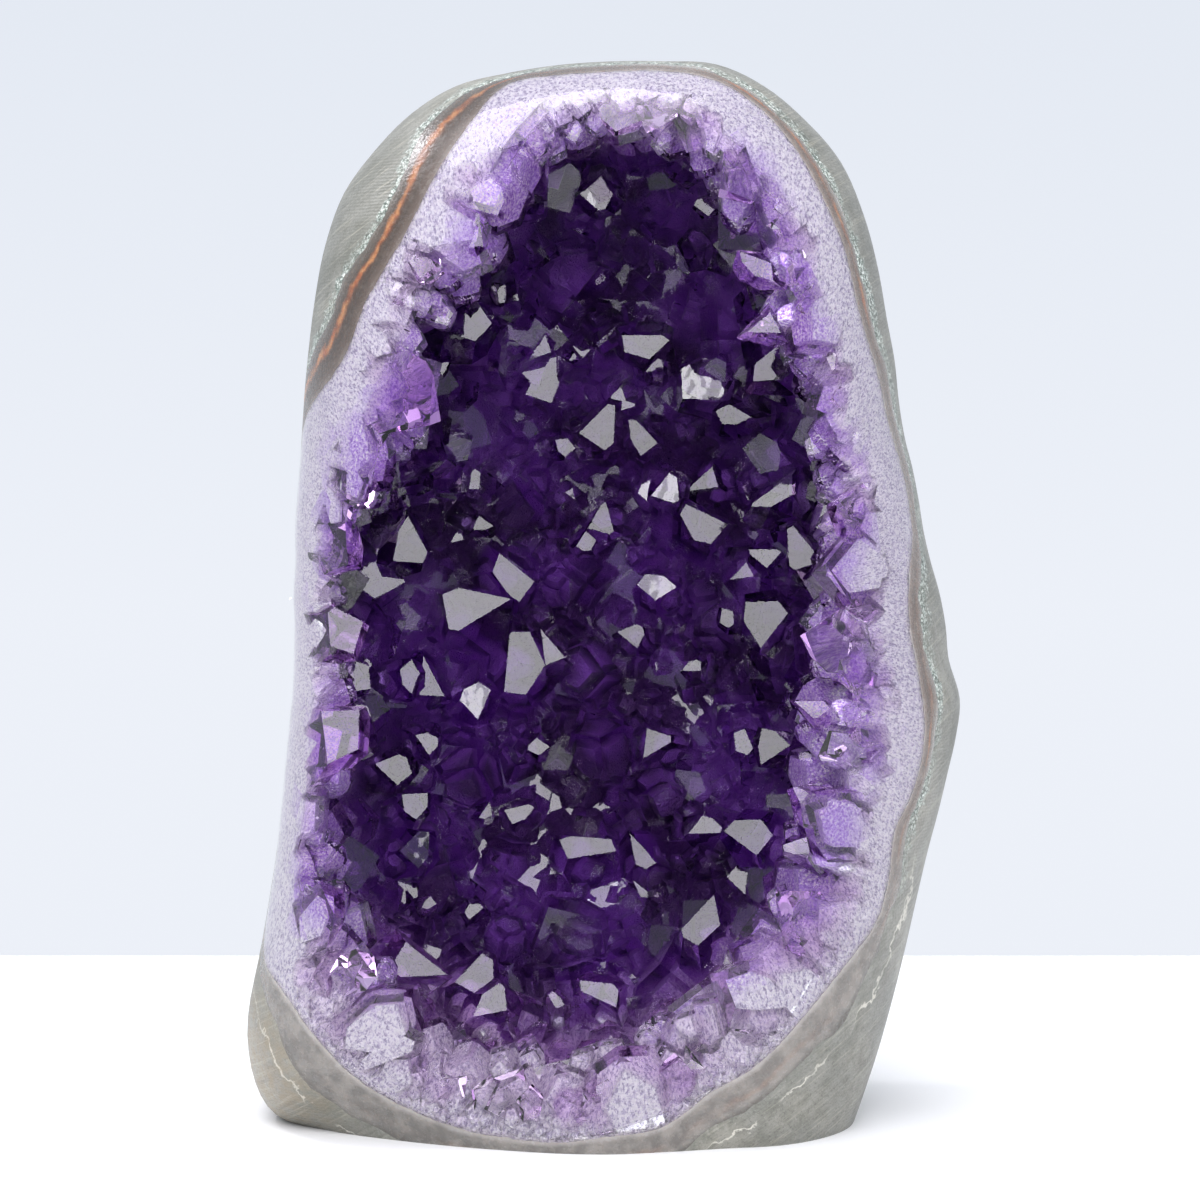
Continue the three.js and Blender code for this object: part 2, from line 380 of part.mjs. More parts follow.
function buildPoints() {
  const random = randomStream(POINT_SEED);
  const points = [];

  for (const [x, y, z, turn, rise, ...flat] of MAIN_FACES) {
    const tip = [x, y, z];
    const az = turn * Math.PI / 180, el = rise * Math.PI / 180;
    const face = [Math.sin(az) * Math.cos(el), -Math.cos(az) * Math.cos(el), Math.sin(el)];
    const right = unit([Math.cos(az), Math.sin(az), 0]);
    const up = cross(face, right);
    const corners = [];
    for (let i = 0; i < flat.length; i += 2) corners.push(mix(right, flat[i], up, flat[i + 1]));
    const reach = Math.max(...corners.map((c) => Math.sqrt(dot(c, c))));
    const axis = unit(mix(face, 0.55, inward(tip), 0.85));
    const planes = [[face, 0]];
    for (let i = 0; i < corners.length; i++) {
      const c = corners[i], d = corners[(i + 1) % corners.length];
      const out = unit(cross(mix(d, 1, c, -1), face));
      const bevel = (FACE_BEVEL[0] + (FACE_BEVEL[1] - FACE_BEVEL[0]) * random()) * Math.PI / 180;
      const side = mix(out, Math.sin(bevel), face, Math.cos(bevel));
      planes.push([side, dot(side, c)]);
    }
    // prism faces, outside every corner of the broad face
    const u = unit(cross(axis, [0, 0, 1])), v = cross(axis, u);
    const spin = 2 * Math.PI * random();
    for (let i = 0; i < 6; i++) {
      const out = mix(u, Math.cos(spin + i * Math.PI / 3), v, Math.sin(spin + i * Math.PI / 3));
      planes.push([out, Math.max(reach * (1 + 0.3 * random()), 0.3 + Math.max(...corners.map((c) => dot(out, c))))]);
    }
    planes.push([[-axis[0], -axis[1], -axis[2]], lengthToRoot(tip, axis)]);
    points.push({ tip, half: reach, face, planes });
  }

  let largest = 0;
  const area = (a, s) => {
    const h = 0.004;
    const p = tipSurface(a, s);
    return Math.sqrt(distance(tipSurface(a + h, s), p) ** 2 * distance(tipSurface(a, Math.min(1, s + h)), p) ** 2) / (h * h);
  };
  for (let i = 0; i < 64; i++) for (let j = 0; j < 40; j++) largest = Math.max(largest, area(i / 64 * 2 * Math.PI, (j + 0.5) / 40));
  for (let n = 0; n < POINT_TRIES; n++) {
    const a = 2 * Math.PI * random(), s = 0.995 * random();
    const keep = random();
    const half = POINT_RADIUS[0] + (POINT_RADIUS[1] - POINT_RADIUS[0]) * random();
    const lift = 4.4 * random() - 2.4;
    const lean = POINT_TILT * Math.sqrt(random()), leanTurn = 2 * Math.PI * random(), spin = 2 * Math.PI * random();
    const shape = scatteredShape(random);
    if (keep * largest > area(a, s)) continue;
    const base = tipSurface(a, s);
    const wall = inward(base);
    const u = unit(cross(wall, Math.abs(wall[2]) < 0.8 ? [0, 0, 1] : [1, 0, 0]));
    const v = cross(wall, u);
    const tilt = mix(u, Math.cos(leanTurn), v, Math.sin(leanTurn));
    const axis = unit(mix(wall, Math.cos(lean), tilt, Math.sin(lean)));
    const tip = mix(base, 1, wall, lift);
    if (points.some((p) => tooClose(p, tip, half, POINT_SPACING))) continue;
    const e = unit(cross(axis, u));
    const f = cross(axis, e);
    points.push({ tip, half, planes: pointPlanes(tip, axis, mix(e, Math.cos(spin), f, Math.sin(spin)), half, shape) });
  }
  return points;
}

const points = buildPoints();

// ---------------------------------------------------------------------------
// The three pieces
// ---------------------------------------------------------------------------
const basalt = stone.subtract(basaltInner);
const agate = agateOuter.intersect(stone).subtract(agateInner);

let growth = quartzOuter.subtract(combInner);
growth = wasm.Manifold.union([growth, ...points.map((p) => convexSolid(p.tip, p.planes))]);
// chips that the polished face cuts clean off a point are dropped
const druse = growth.intersect(quartzOuter).intersect(stone).decompose()
  .sort((a, b) => b.volume() - a.volume())[0];

const geode = new THREE.Group();
geode.position.set(-ORIGIN_X, -ORIGIN_Y, 0);

function addPiece(name, solid, color, roughness, extra = {}) {
  const mesh = new THREE.Mesh(toGeometry(solid), new THREE.MeshStandardMaterial({ color, roughness, metalness: 0, ...extra }));
  mesh.name = name;
  geode.add(mesh);
}

addPiece('basalt_rind', basalt, 0x94948c, 0.62);
addPiece('agate_band', agate, 0x8a7a6c, 0.28);
addPiece('amethyst_druse', druse, 0x7a4fb0, 0.12, { transparent: true, opacity: 0.85 });

export default geode;
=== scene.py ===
import json
import math

import bpy
import bmesh
import numpy as np
from mathutils import Matrix, Vector
from mathutils.bvhtree import BVHTree

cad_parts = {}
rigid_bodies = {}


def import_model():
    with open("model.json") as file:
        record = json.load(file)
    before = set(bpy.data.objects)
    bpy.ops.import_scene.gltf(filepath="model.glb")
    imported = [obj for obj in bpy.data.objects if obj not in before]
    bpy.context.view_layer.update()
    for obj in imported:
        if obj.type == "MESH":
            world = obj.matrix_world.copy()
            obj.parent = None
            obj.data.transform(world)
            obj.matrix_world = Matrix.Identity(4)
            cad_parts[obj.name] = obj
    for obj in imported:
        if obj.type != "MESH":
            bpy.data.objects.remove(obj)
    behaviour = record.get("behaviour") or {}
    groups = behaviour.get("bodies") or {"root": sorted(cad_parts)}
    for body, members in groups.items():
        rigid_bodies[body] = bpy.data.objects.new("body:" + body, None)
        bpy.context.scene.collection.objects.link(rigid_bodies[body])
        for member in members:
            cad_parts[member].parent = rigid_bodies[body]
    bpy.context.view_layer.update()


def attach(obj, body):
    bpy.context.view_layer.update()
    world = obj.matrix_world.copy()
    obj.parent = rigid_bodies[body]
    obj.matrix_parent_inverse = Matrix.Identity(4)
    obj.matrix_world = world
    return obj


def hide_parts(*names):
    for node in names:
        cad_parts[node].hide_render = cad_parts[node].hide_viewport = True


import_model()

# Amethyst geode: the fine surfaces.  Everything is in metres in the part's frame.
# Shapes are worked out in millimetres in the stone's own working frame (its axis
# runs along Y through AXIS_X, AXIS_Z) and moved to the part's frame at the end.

# ---------------------------------------------------------------------------
# Dimensions shared with the CAD model (mm)
# ---------------------------------------------------------------------------
AXIS_X, AXIS_Z = 2.0, 100.0
ORIGIN_X, ORIGIN_Y = 0.576, 4.355
DOME_RISE, DOME_POWER = 53.0, 2.35
BACK_RISE, BACK_POWER = 54.0, 2.5
SHELL_START, SHELL_POWER = -28.0, 2.3
QUARTZ_DEPTH, AGATE_DEPTH = 70.0, 74.5
POINT_RELIEF, ROOT_COVER = 4.5, 3.5
TIP_START, TIP_DEPTH, TIP_POWER, TIP_FRONT = -34.0, 46.0, 2.2, -50.0
PYRAMID_ANGLE = 51.79 * math.pi / 180
POINT_SPACING, POINT_RADIUS, POINT_TILT = 1.9, (5.4, 8.2), 0.42
FACE_BEVEL = (52, 80)
POINT_SEED, POINT_TRIES, TUBE_SHARE = 20117, 5200, 0.22

R_STONE = [
    62.3, 60.9, 60.4, 60.9, 61.8, 63.0, 65.5, 69.4, 73.7, 79.5, 85.9, 92.1, 96.3, 99.8, 101.6, 100.7,
    100.2, 100.0, 99.9, 99.9, 97.9, 94.5, 90.6, 84.9, 78.9, 73.7, 69.5, 66.1, 63.6, 62.0, 60.9, 60.0,
    60.1, 60.2, 61.2, 63.0, 66.0, 70.0, 75.3, 82.7, 93.7, 109.0, 117.6, 117.1, 119.0, 123.8, 130.9, 139.4,
    141.9, 134.5, 127.2, 124.2, 114.9, 104.5, 95.5, 88.1, 82.2, 77.8, 74.8, 72.5, 70.9, 69.2, 65.4, 63.8]
R_QUARTZ = [
    54.2, 54.9, 56.7, 57.6, 58.5, 59.4, 60.8, 63.4, 66.2, 70.3, 76.5, 82.2, 88.6, 93.9, 97.2, 98.0,
    97.4, 97.2, 96.9, 89.8, 83.1, 76.7, 72.6, 69.7, 66.4, 65.0, 65.6, 66.2, 64.7, 63.2, 62.1, 61.4,
    61.3, 61.6, 62.6, 64.3, 67.3, 71.3, 76.6, 83.6, 92.9, 93.8, 96.3, 99.2, 100.2, 100.3, 99.4, 98.3,
    96.5, 95.5, 90.8, 88.2, 84.6, 81.1, 78.6, 76.5, 71.9, 67.0, 65.8, 64.3, 62.0, 59.0, 56.6, 54.6]
R_AGATE = [
    56.9, 57.8, 58.7, 59.6, 60.5, 61.4, 62.8, 66.1, 68.5, 73.5, 79.1, 85.3, 91.3, 95.9, 99.2, 100.0,
    99.4, 99.2, 98.9, 96.7, 91.6, 83.3, 78.4, 76.0, 72.6, 71.5, 71.7, 70.6, 68.2, 66.6, 65.5, 64.8,
    64.7, 65.0, 66.0, 67.7, 70.7, 74.7, 80.0, 87.6, 94.9, 99.0, 103.8, 106.9, 107.2, 106.6, 105.4, 104.2,
    103.2, 101.9, 97.4, 94.7, 90.7, 88.5, 83.7, 79.4, 75.2, 69.9, 67.8, 66.3, 64.2, 62.5, 59.3, 57.5]
R_MOUTH = [
    35.4, 36.3, 37.5, 38.7, 40.0, 41.5, 43.0, 44.7, 47.9, 51.4, 53.5, 56.0, 61.2, 71.7, 79.3, 81.3,
    81.2, 80.8, 74.1, 65.6, 61.1, 58.2, 55.5, 48.7, 45.6, 43.6, 43.7, 44.1, 44.6, 45.4, 46.3, 47.1,
    47.7, 48.3, 48.6, 49.1, 50.6, 52.7, 57.9, 65.3, 69.1, 72.3, 75.3, 79.0, 82.2, 83.1, 82.7, 80.9,
    79.0, 76.3, 72.4, 68.1, 63.9, 59.9, 56.1, 52.3, 48.3, 43.8, 40.9, 38.3, 36.7, 35.4, 34.4, 34.8]

# Broad terminal faces of the main points: middle x, y, z; degrees left or right of
# straight forward; degrees above level; corners in the face (right, up), anticlockwise.
MAIN_FACES = [
    [-0.1, -13.5, 174.1, 4, 14, -3.6, 0.5, -0.3, -2.6, 1, -2.4, 2.5, 0.5, 0.4, 4],
    [19.4, -20.8, 172, -9, 17, 1, 1.4, -1.6, 1.2, -2.1, 0.1, 0.6, -2.1, 2, -0.6],
    [9.4, -7.2, 169.2, 8, 20, -1.3, 0.6, -1.5, 0.2, 0.3, -1.8, 1.4, 0.3, 1, 0.7],
    [28, -38.5, 159.9, -12, 15, 3.2, -2.6, 2.7, 0.6, -3.1, 2.9, -2.6, 0.9, -0.1, -1.8],
    [-25, -25, 150.1, 13, 21, -3.6, -1.7, 2, -3.4, 5.3, -0, 2.6, 4.9, -6.3, 0.3],
    [29.8, -39.1, 149.3, -6, 13, 2.7, -1.4, 0.7, 2.5, -3.4, -1.2],
    [32.1, -23.5, 142.4, -11, 18, 4.3, 0.1, 1.5, 5, -3.7, 0.4, -3.9, -2.9, 1.7, -2.6],
    [8.7, 5, 147.2, -3, 13, 4.6, 0.8, 3.2, 1.8, -4.5, 1.8, -4, -1.5, 0.8, -2.9],
    [10.8, 6.2, 142.2, 10, 12, 1, -2.3, 1.6, 2.1, 0.1, 2.4, -2, -0.1, -0.7, -2.1],
    [-5.1, 5, 144.6, 6, 14, -0.8, -0.4, -0.6, -0.6, 0.5, -0.2, 0.7, 0.4, 0.2, 1],
    [0.8, 9.5, 131.4, 5, 15, 0.8, 4.6, -4.9, -1.2, 0, -4.6, 1.8, -3.2, 2.2, 4.4],
    [7.5, 9.5, 129.7, -8, 16, -0.7, 3.2, -2.1, 3.2, -1.5, -0.8, 0.5, -4, 3.7, -1.4],
    [-6.9, 8.5, 127.6, 12, 13, -1.7, 1.4, -1.2, -0.8, 0.1, -2, 2.2, -0.2, 0.7, 1.6],
    [24.8, -2.5, 133.4, -10, 12, 1.1, -1.6, 3.9, -0.2, -0.4, 2.3, -3, 1, -1.6, -1.5],
    [13.5, 9, 119.3, 2, 18, 0.7, -2.6, 1.7, -2, 1.4, 2.4, -0.1, 3.4, -3.7, -1.2],
    [19.7, 5.2, 120.7, -13, 14, -2.4, -1.6, 3.1, -0.8, 1.7, 3.2, -2.4, -0.8],
    [32.4, -7.2, 118.1, -7, 20, 3.7, 4.5, -3.5, -1.1, -3.9, -1.9, -0.1, -1.9, 3.8, 0.5],
    [19.2, 7.2, 112.5, 7, 14, -3.8, 2.2, -1.2, -2.9, 2, -3.7, 5.5, 0.2, -2.5, 4.2],
    [0.7, 11.8, 113.4, -9, 17, 1.3, -2.8, 2.1, -2.2, 0.3, 3.6, -0.7, 3, -3, -1.6],
    [-2.6, 11.5, 108.9, 11, 13, -2.1, -0.5, -0.7, -1.5, 0.9, -1.3, 1.9, 0.7, 0, 2.5],
    [-22.8, 3.5, 112.5, 9, 19, -0.3, 2, -1.5, -0.4, -1.3, -0.8, 0.8, -0.8, 2.4, -0],
    [-35.8, -7.2, 109.2, 12, 15, -2, 2.8, -3.4, -3.2, 2.3, -3.6, 3.3, -1.5, -0.2, 5.5],
    [36.4, -22.5, 108.5, -13, 17, -0.1, -3.7, 4.7, -2, -1.1, 4.7, -2.2, 4.1, -1.3, -3.1],
    [31.2, -4, 107.2, -4, 13, 0.4, -2.6, 3.1, 0.5, 2.3, 1, -3, 1, -2.8, 0.1],
    [-17.2, 9, 101.8, 8, 16, -3.5, 1.7, -0.5, -2.8, 1.5, -4.2, 4.6, -0.2, -2.1, 5.5],
    [-26.2, 6.2, 96.6, 3, 14, -2.9, -4.1, -1, -4.4, 9.1, 1.8, -1, 4, -4.1, 2.7],
    [10.8, 11, 101, -7, 19, -3.7, -0.1, 0.1, -3.2, 4.1, -0.5, 1.5, 1.7, -2, 2.1],
    [30.8, -7, 95.5, -12, 15, -0.2, -6, 4.7, 0.8, 2.7, 3.1, -3.5, 2.9, -3.7, -0.8],
    [-14.9, 10.2, 85.8, 6, 17, -3.8, -5.7, 0.4, -6.3, 4.3, -0.4, 1.5, 6.2, -2.4, 6.2],
    [-9.6, 11.2, 88.2, -5, 13, -0.9, -2.9, 2.9, -1.4, -2, 4.2],
    [6.9, 11.8, 91.5, -10, 18, 1.7, -0.2, 1.4, 1.2, 0, 1.8, -3.6, 0.2, 0.5, -3],
    [-32.7, -0.8, 82.7, 12, 14, -2.3, -2.3, 3, -2.7, -0.7, 5.1],
    [-24.2, 7, 79.6, 5, 19, 0.6, -4.6, 3.2, 1.2, 0.9, 2.8, -2, 1.4, -2.8, -0.8],
    [-36.2, -4.8, 84.2, 9, 13, -1.2, -1.7, 0.4, -3.4, 2, 0.6, 0.6, 3.2, -1.7, 1.2],
    [-49, -32.4, 74.3, 14, 20, 5.6, 5.5, -3.5, 5.4, -4.2, -3.4, -2.8, -5.5, 4.9, -1.9],
    [-38.4, -4.2, 66.9, 10, 15, 2.7, -1.3, 1.7, 1.8, 0.2, 2.4, -4.3, 0.6, -0.2, -3.5],
    [-32.6, 1.2, 71.3, 4, 18, -2.7, 1.3, -0.1, -2.7, 1.6, -0.9, 1.6, 0.7, -0.4, 1.7],
    [-12.3, 9.2, 69.6, -4, 14, -1.7, -0.6, 0.5, -1.6, 2.6, 0, 0, 1.8, -1.5, 0.4],
    [11.2, 8.2, 70.8, -8, 15, -2.8, -3.4, 2.5, -0.2, 2.5, 1, -2.2, 2.5],
    [27.3, -0.5, 71.1, -3, 19, -1.4, -1.5, 0.9, -2.3, 1.9, -1.1, 0.3, 2.8, -1.8, 2],
    [31.8, -11.2, 72, -12, 14, -1.4, -4.1, 4, -0.4, 1, 2.3, -1.5, 2.8, -2.1, -0.6],
    [-35.1, -2.8, 59.5, 11, 18, -2.5, 2.1, -2.2, -1.2, -0, -2.8, 2.2, -0.5, 2.5, 2.3],
    [-34.3, -6, 51.7, 6, 15, 0.1, 3.2, -3.6, -0.6, -0.2, -3.9, 1.7, -1.8, 2, 3],
    [-15.2, 5.8, 57.1, -2, 20, -1.7, -2.2, 0.8, -1.2, 2.5, 1, 1.7, 1.8, -3.3, 0.6],
    [-2.9, 4.2, 51.1, 7, 21, 6, -1.3, 5.1, 1.1, -2.8, 1.8, -4.9, 1.1, -3.4, -2.7],
    [8.1, 2.2, 49.3, -9, 16, 2.7, -1.4, 0.2, 1.5, -2.6, 4.2, -1.2, -1.7, 0.8, -2.6],
    [20.8, -1.2, 55.4, -4, 21, -3.9, -1.6, 2.2, -1.4, 2.5, -0.4, 0.6, 1.5, -1.3, 1.9],
    [28.2, -10.5, 55.1, -10, 17, 2, 2.5, -3.1, 2.2, -4.9, 0.1, 1.5, -4.4, 4.4, -0.5],
    [37.4, -46.2, 63.8, -13, 19, -2.5, 3.2, -3.2, 3, 0.6, -4.1, 2.5, -2.8, 2.5, 0.7],
    [35.6, -41.3, 55.4, -7, 14, -2.5, -0.5, 1.6, -1.7, 2.1, -0.6, 1.5, 2.1, -2.7, 0.6],
    [-32.4, -9, 41.4, 10, 20, -0.1, -1, 1.6, -0.1, 0.4, 1.5, -0.6, 0.5, -1.3, -0.8],
    [-24.1, -4.5, 39.7, 4, 16, -0.8, -1.9, 1.9, 0.3, 1.3, 1.1, -0.8, 1.1, -1.6, -0.6],
    [18.6, -14.8, 37.9, -9, 20, -3, -2.1, -0.1, -3.7, 3.9, 0.3, 2.5, 6.1, -3.3, -0.6],
    [-34.9, -24.2, 31.8, 9, 22, -2, -2.1, 6.7, -1.9, -0.8, 4.5, -4, -0.5],
    [-22.5, -13.5, 28.6, 12, 18, -0.8, -3.7, 2.5, -1.7, 2.6, 2.7, 0.6, 4, -4.9, -1.3],
    [-19.9, -17.8, 24.8, 2, 21, 1.2, 2.9, -2, 0.8, -3.8, -3.5, 2.5, -2.3, 2.1, 2.1],
    [0.3, -15.2, 25.8, -5, 20, 2.1, 1.3, -4.2, 2, -3.9, -0.1, 2.8, -3.1, 3.2, -0],
    [38.7, -42.3, 80.6, -12, 16, -4, 1.4, -0.4, -1.7, 0.6, -1.5, 2.6, 0.2, 1.2, 1.5],
    [18.1, 8.2, 85.5, -6, 14, -2.4, -1.1, 1.3, -1.1, 1.4, 0.5, 0.6, 1.1, -0.9, 0.7],
    [24.4, 2.8, 94.7, 5, 13, 0.2, -1.8, 1.2, -1, 1.1, 1.5, -1, 2.1, -1.5, -0.8],
    [-47.1, -30.5, 94.5, 13, 17, -2.3, -3.3, 1.9, -4.8, 4, 1.2, -1.2, 4, -2.4, 2.9],
    [-21.7, 4, 57.5, 8, 14, -0.5, -1.3, 0.9, -0.6, 0.8, 1.2, 0.4, 1.8, -1.6, -1.1],
    [-8.2, -14.5, 24.1, 3, 18, 1.6, -1.1, 0.5, 0.6, -0.6, 1.5, -1.5, 0.8, -0.1, -1.7],
    [-28.6, -23.8, 142.1, 10, 19, -0.7, -1.4, -0.3, -1.4, 0.9, 0.9, 0.8, 1.1, -0.7, 0.9],
    [-18.4, -15.5, 156.1, 7, 15, 0.5, -1.9, 0.8, 1.6, -0.3, 2, -0.6, 0.2, -0.4, -1.9]]

# ---------------------------------------------------------------------------
# Camera first
# ---------------------------------------------------------------------------
scene = bpy.context.scene
cam_data = bpy.data.cameras.new("camera")
cam_data.sensor_width = 36.0
cam_data.lens = 110.27
cam_data.clip_start, cam_data.clip_end = 0.05, 20.0
camera = bpy.data.objects.new("camera", cam_data)
camera.location = ((0.0 - ORIGIN_X) / 1000, (-700.0 - ORIGIN_Y) / 1000, 0.127)
camera.rotation_euler = (math.radians(90 - 2.3377), 0, 0)
scene.collection.objects.link(camera)
scene.camera = camera

# ---------------------------------------------------------------------------
# Number helpers
# ---------------------------------------------------------------------------
def radius_at(table, angle):
    t = np.asarray(table, float)
    n = len(t)
    turn = np.asarray(angle, float) / (2 * math.pi)
    s = (turn - np.floor(turn)) * n
    i = np.floor(s).astype(int)
    f = s - i
    p0, p1, p2, p3 = t[(i + n - 1) % n], t[i % n], t[(i + 1) % n], t[(i + 2) % n]
    return p1 + 0.5 * f * (p2 - p0 + f * (2 * p0 - 5 * p1 + 4 * p2 - p3 + f * (3 * (p1 - p2) + p3 - p0)))


def radius1(table, angle):
    n = len(table)
    turn = angle / (2 * math.pi)
    s = (turn - math.floor(turn)) * n
    i = math.floor(s)
    f = s - i
    p0, p1, p2, p3 = table[(i + n - 1) % n], table[i % n], table[(i + 1) % n], table[(i + 2) % n]
    return p1 + 0.5 * f * (p2 - p0 + f * (2 * p0 - 5 * p1 + 4 * p2 - p3 + f * (3 * (p1 - p2) + p3 - p0)))


_lattice = np.random.RandomState(4711).rand(32, 32, 32)


def value_noise(p, size, seed=0):
    """Smooth noise in -1..1 at points p (mm), with features about `size` mm."""
    q = np.asarray(p, float) / size + np.array([7.3, 3.1, 5.7]) * (seed + 1)
    i = np.floor(q).astype(int)
    f = q - i
    f = f * f * f * (f * (f * 6 - 15) + 10)
    out = 0
    for dx in (0, 1):
        for dy in (0, 1):
            for dz in (0, 1):
                w = (f[..., 0] if dx else 1 - f[..., 0]) * (f[..., 1] if dy else 1 - f[..., 1]) * (f[..., 2] if dz else 1 - f[..., 2])
                out = out + w * _lattice[(i[..., 0] + dx) % 32, (i[..., 1] + dy) % 32, (i[..., 2] + dz) % 32]
    return out * 2 - 1


def smoothstep(a, b, x):
    t = np.clip((np.asarray(x, float) - a) / (b - a), 0, 1)
    return t * t * (3 - 2 * t)


def dome_y(t):
    return -DOME_RISE * np.power(np.clip(1 - np.power(np.clip(t, 0, 1), DOME_POWER), 0, 1), 1 / DOME_POWER)


# ---------------------------------------------------------------------------
# Mesh helpers
# ---------------------------------------------------------------------------
def to_part(p):
    return (np.asarray(p, float) - np.array([ORIGIN_X, ORIGIN_Y, 0.0])) / 1000.0


def new_object(name, mesh):
    ob = bpy.data.objects.new(name, mesh)
    scene.collection.objects.link(ob)
    return ob


def grid_mesh(name, rings, pole_first, pole_last):
    """A closed mesh from rings (m, n, 3) between two poles.  Working frame, mm."""
    m, n, _ = rings.shape
    verts = np.concatenate([[pole_first], rings.reshape(-1, 3), [pole_last]])
    faces = []
    for i in range(n):
        faces.append((0, 1 + i, 1 + (i + 1) % n))
    idx = np.arange(m * n).reshape(m, n) + 1
    a, b = idx[:-1], idx[1:]
    quads = np.stack([a, b, np.roll(b, -1, 1), np.roll(a, -1, 1)], -1).reshape(-1, 4)
    faces += [tuple(q) for q in quads.tolist()]
    last = len(verts) - 1
    base = 1 + (m - 1) * n
    for i in range(n):
        faces.append((last, base + (i + 1) % n, base + i))
    me = bpy.data.meshes.new(name)
    me.from_pydata(verts.tolist(), [], faces)
    bm = bmesh.new()
    bm.from_mesh(me)
    bmesh.ops.recalc_face_normals(bm, faces=bm.faces)
    if bm.calc_volume(signed=True) < 0:
        bmesh.ops.reverse_faces(bm, faces=bm.faces)
    bm.to_mesh(me)
    bm.free()
    return new_object(name, me)


def copy_object(ob, name):
    return new_object(name, ob.data.copy())


def boolean(ob, operation, other, keep=False):
    m = ob.modifiers.new("b", "BOOLEAN")
    m.solver = "MANIFOLD"
    m.operation = operation
    if isinstance(other, bpy.types.Collection):
        m.operand_type = "COLLECTION"
        m.collection = other
    else:
        m.object = other
    dg = bpy.context.evaluated_depsgraph_get()
    dg.update()
    before = len(ob.data.polygons)
    me = bpy.data.meshes.new_from_object(ob.evaluated_get(dg))
    if len(me.polygons) == before:
        print("boolean changed nothing:", ob.name, operation)
    ob.modifiers.remove(m)
    old = ob.data
    ob.data = me
    bpy.data.meshes.remove(old)
    if not keep:
        if isinstance(other, bpy.types.Collection):
            for o in list(other.objects):
                bpy.data.objects.remove(o)
            bpy.data.collections.remove(other)
        else:
            bpy.data.objects.remove(other)
    return ob


def keep_largest(ob):
    """Drops loose chips: only the body with the most faces stays."""
    bm = bmesh.new()
    bm.from_mesh(ob.data)
    bm.verts.ensure_lookup_table()
    seen = np.full(len(bm.verts), -1)
    groups = []
    for v in bm.verts:
        if seen[v.index] >= 0:
            continue
        g = len(groups)
        stack, members = [v], []
        seen[v.index] = g
        while stack:
            w = stack.pop()
            members.append(w)
            for e in w.link_edges:
                o = e.other_vert(w)
                if seen[o.index] < 0:
                    seen[o.index] = g
                    stack.append(o)
        groups.append(members)
    groups.sort(key=len, reverse=True)
    chips = [v for g in groups[1:] for v in g]
    if chips:
        bmesh.ops.delete(bm, geom=chips, context="VERTS")
    bm.to_mesh(ob.data)
    bm.free()
    return len(groups)


def coordinates(ob):
    co = np.empty(len(ob.data.vertices) * 3)
    ob.data.vertices.foreach_get("co", co)
    return co.reshape(-1, 3)


def finish_piece(ob, slot, *nodes):
    co = to_part(coordinates(ob))
    ob.data.vertices.foreach_set("co", co.reshape(-1))
    ob.data.update()
    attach(ob, "root")
    if nodes:
        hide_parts(*nodes)


def put_attribute(ob, name, values):
    values = np.asarray(values, float)
    if values.ndim == 1:
        a = ob.data.attributes.new(name, "FLOAT", "POINT")
        a.data.foreach_set("value", values.astype(np.float32))
    else:
        a = ob.data.attributes.new(name, "FLOAT_VECTOR", "POINT")
        a.data.foreach_set("vector", values.astype(np.float32).reshape(-1))


# ---------------------------------------------------------------------------
# The stone's outer form
# ---------------------------------------------------------------------------
def back_radius(a, t):
    soft = 0
    for k in range(-3, 4):
        soft = soft + radius_at(R_STONE, a + 0.24 * k) * (4 - abs(k)) / 16
    w = t ** 5
    return t * (radius_at(R_STONE, a) * w + soft * (1 - w))


def skin_relief(a, t):
    fade = np.clip((1 - t) * 7, 0, 1)
    x, z = t * np.cos(a), t * np.sin(a)
    return 1.5 * fade * (0.50 * np.sin(5.1 * x + 1.3) * np.cos(4.3 * z - 0.6)
                         + 0.32 * np.sin(9.7 * x - 7.9 * z + 2.1) + 0.18 * np.cos(15.3 * z + 11.1 * x + 0.4))


SEG = 320
ANG = np.arange(SEG) / SEG * 2 * math.pi


def ring_points(a, r, y):
    return np.stack([AXIS_X + r * np.cos(a), np.broadcast_to(y, a.shape), AXIS_Z + r * np.sin(a)], -1)


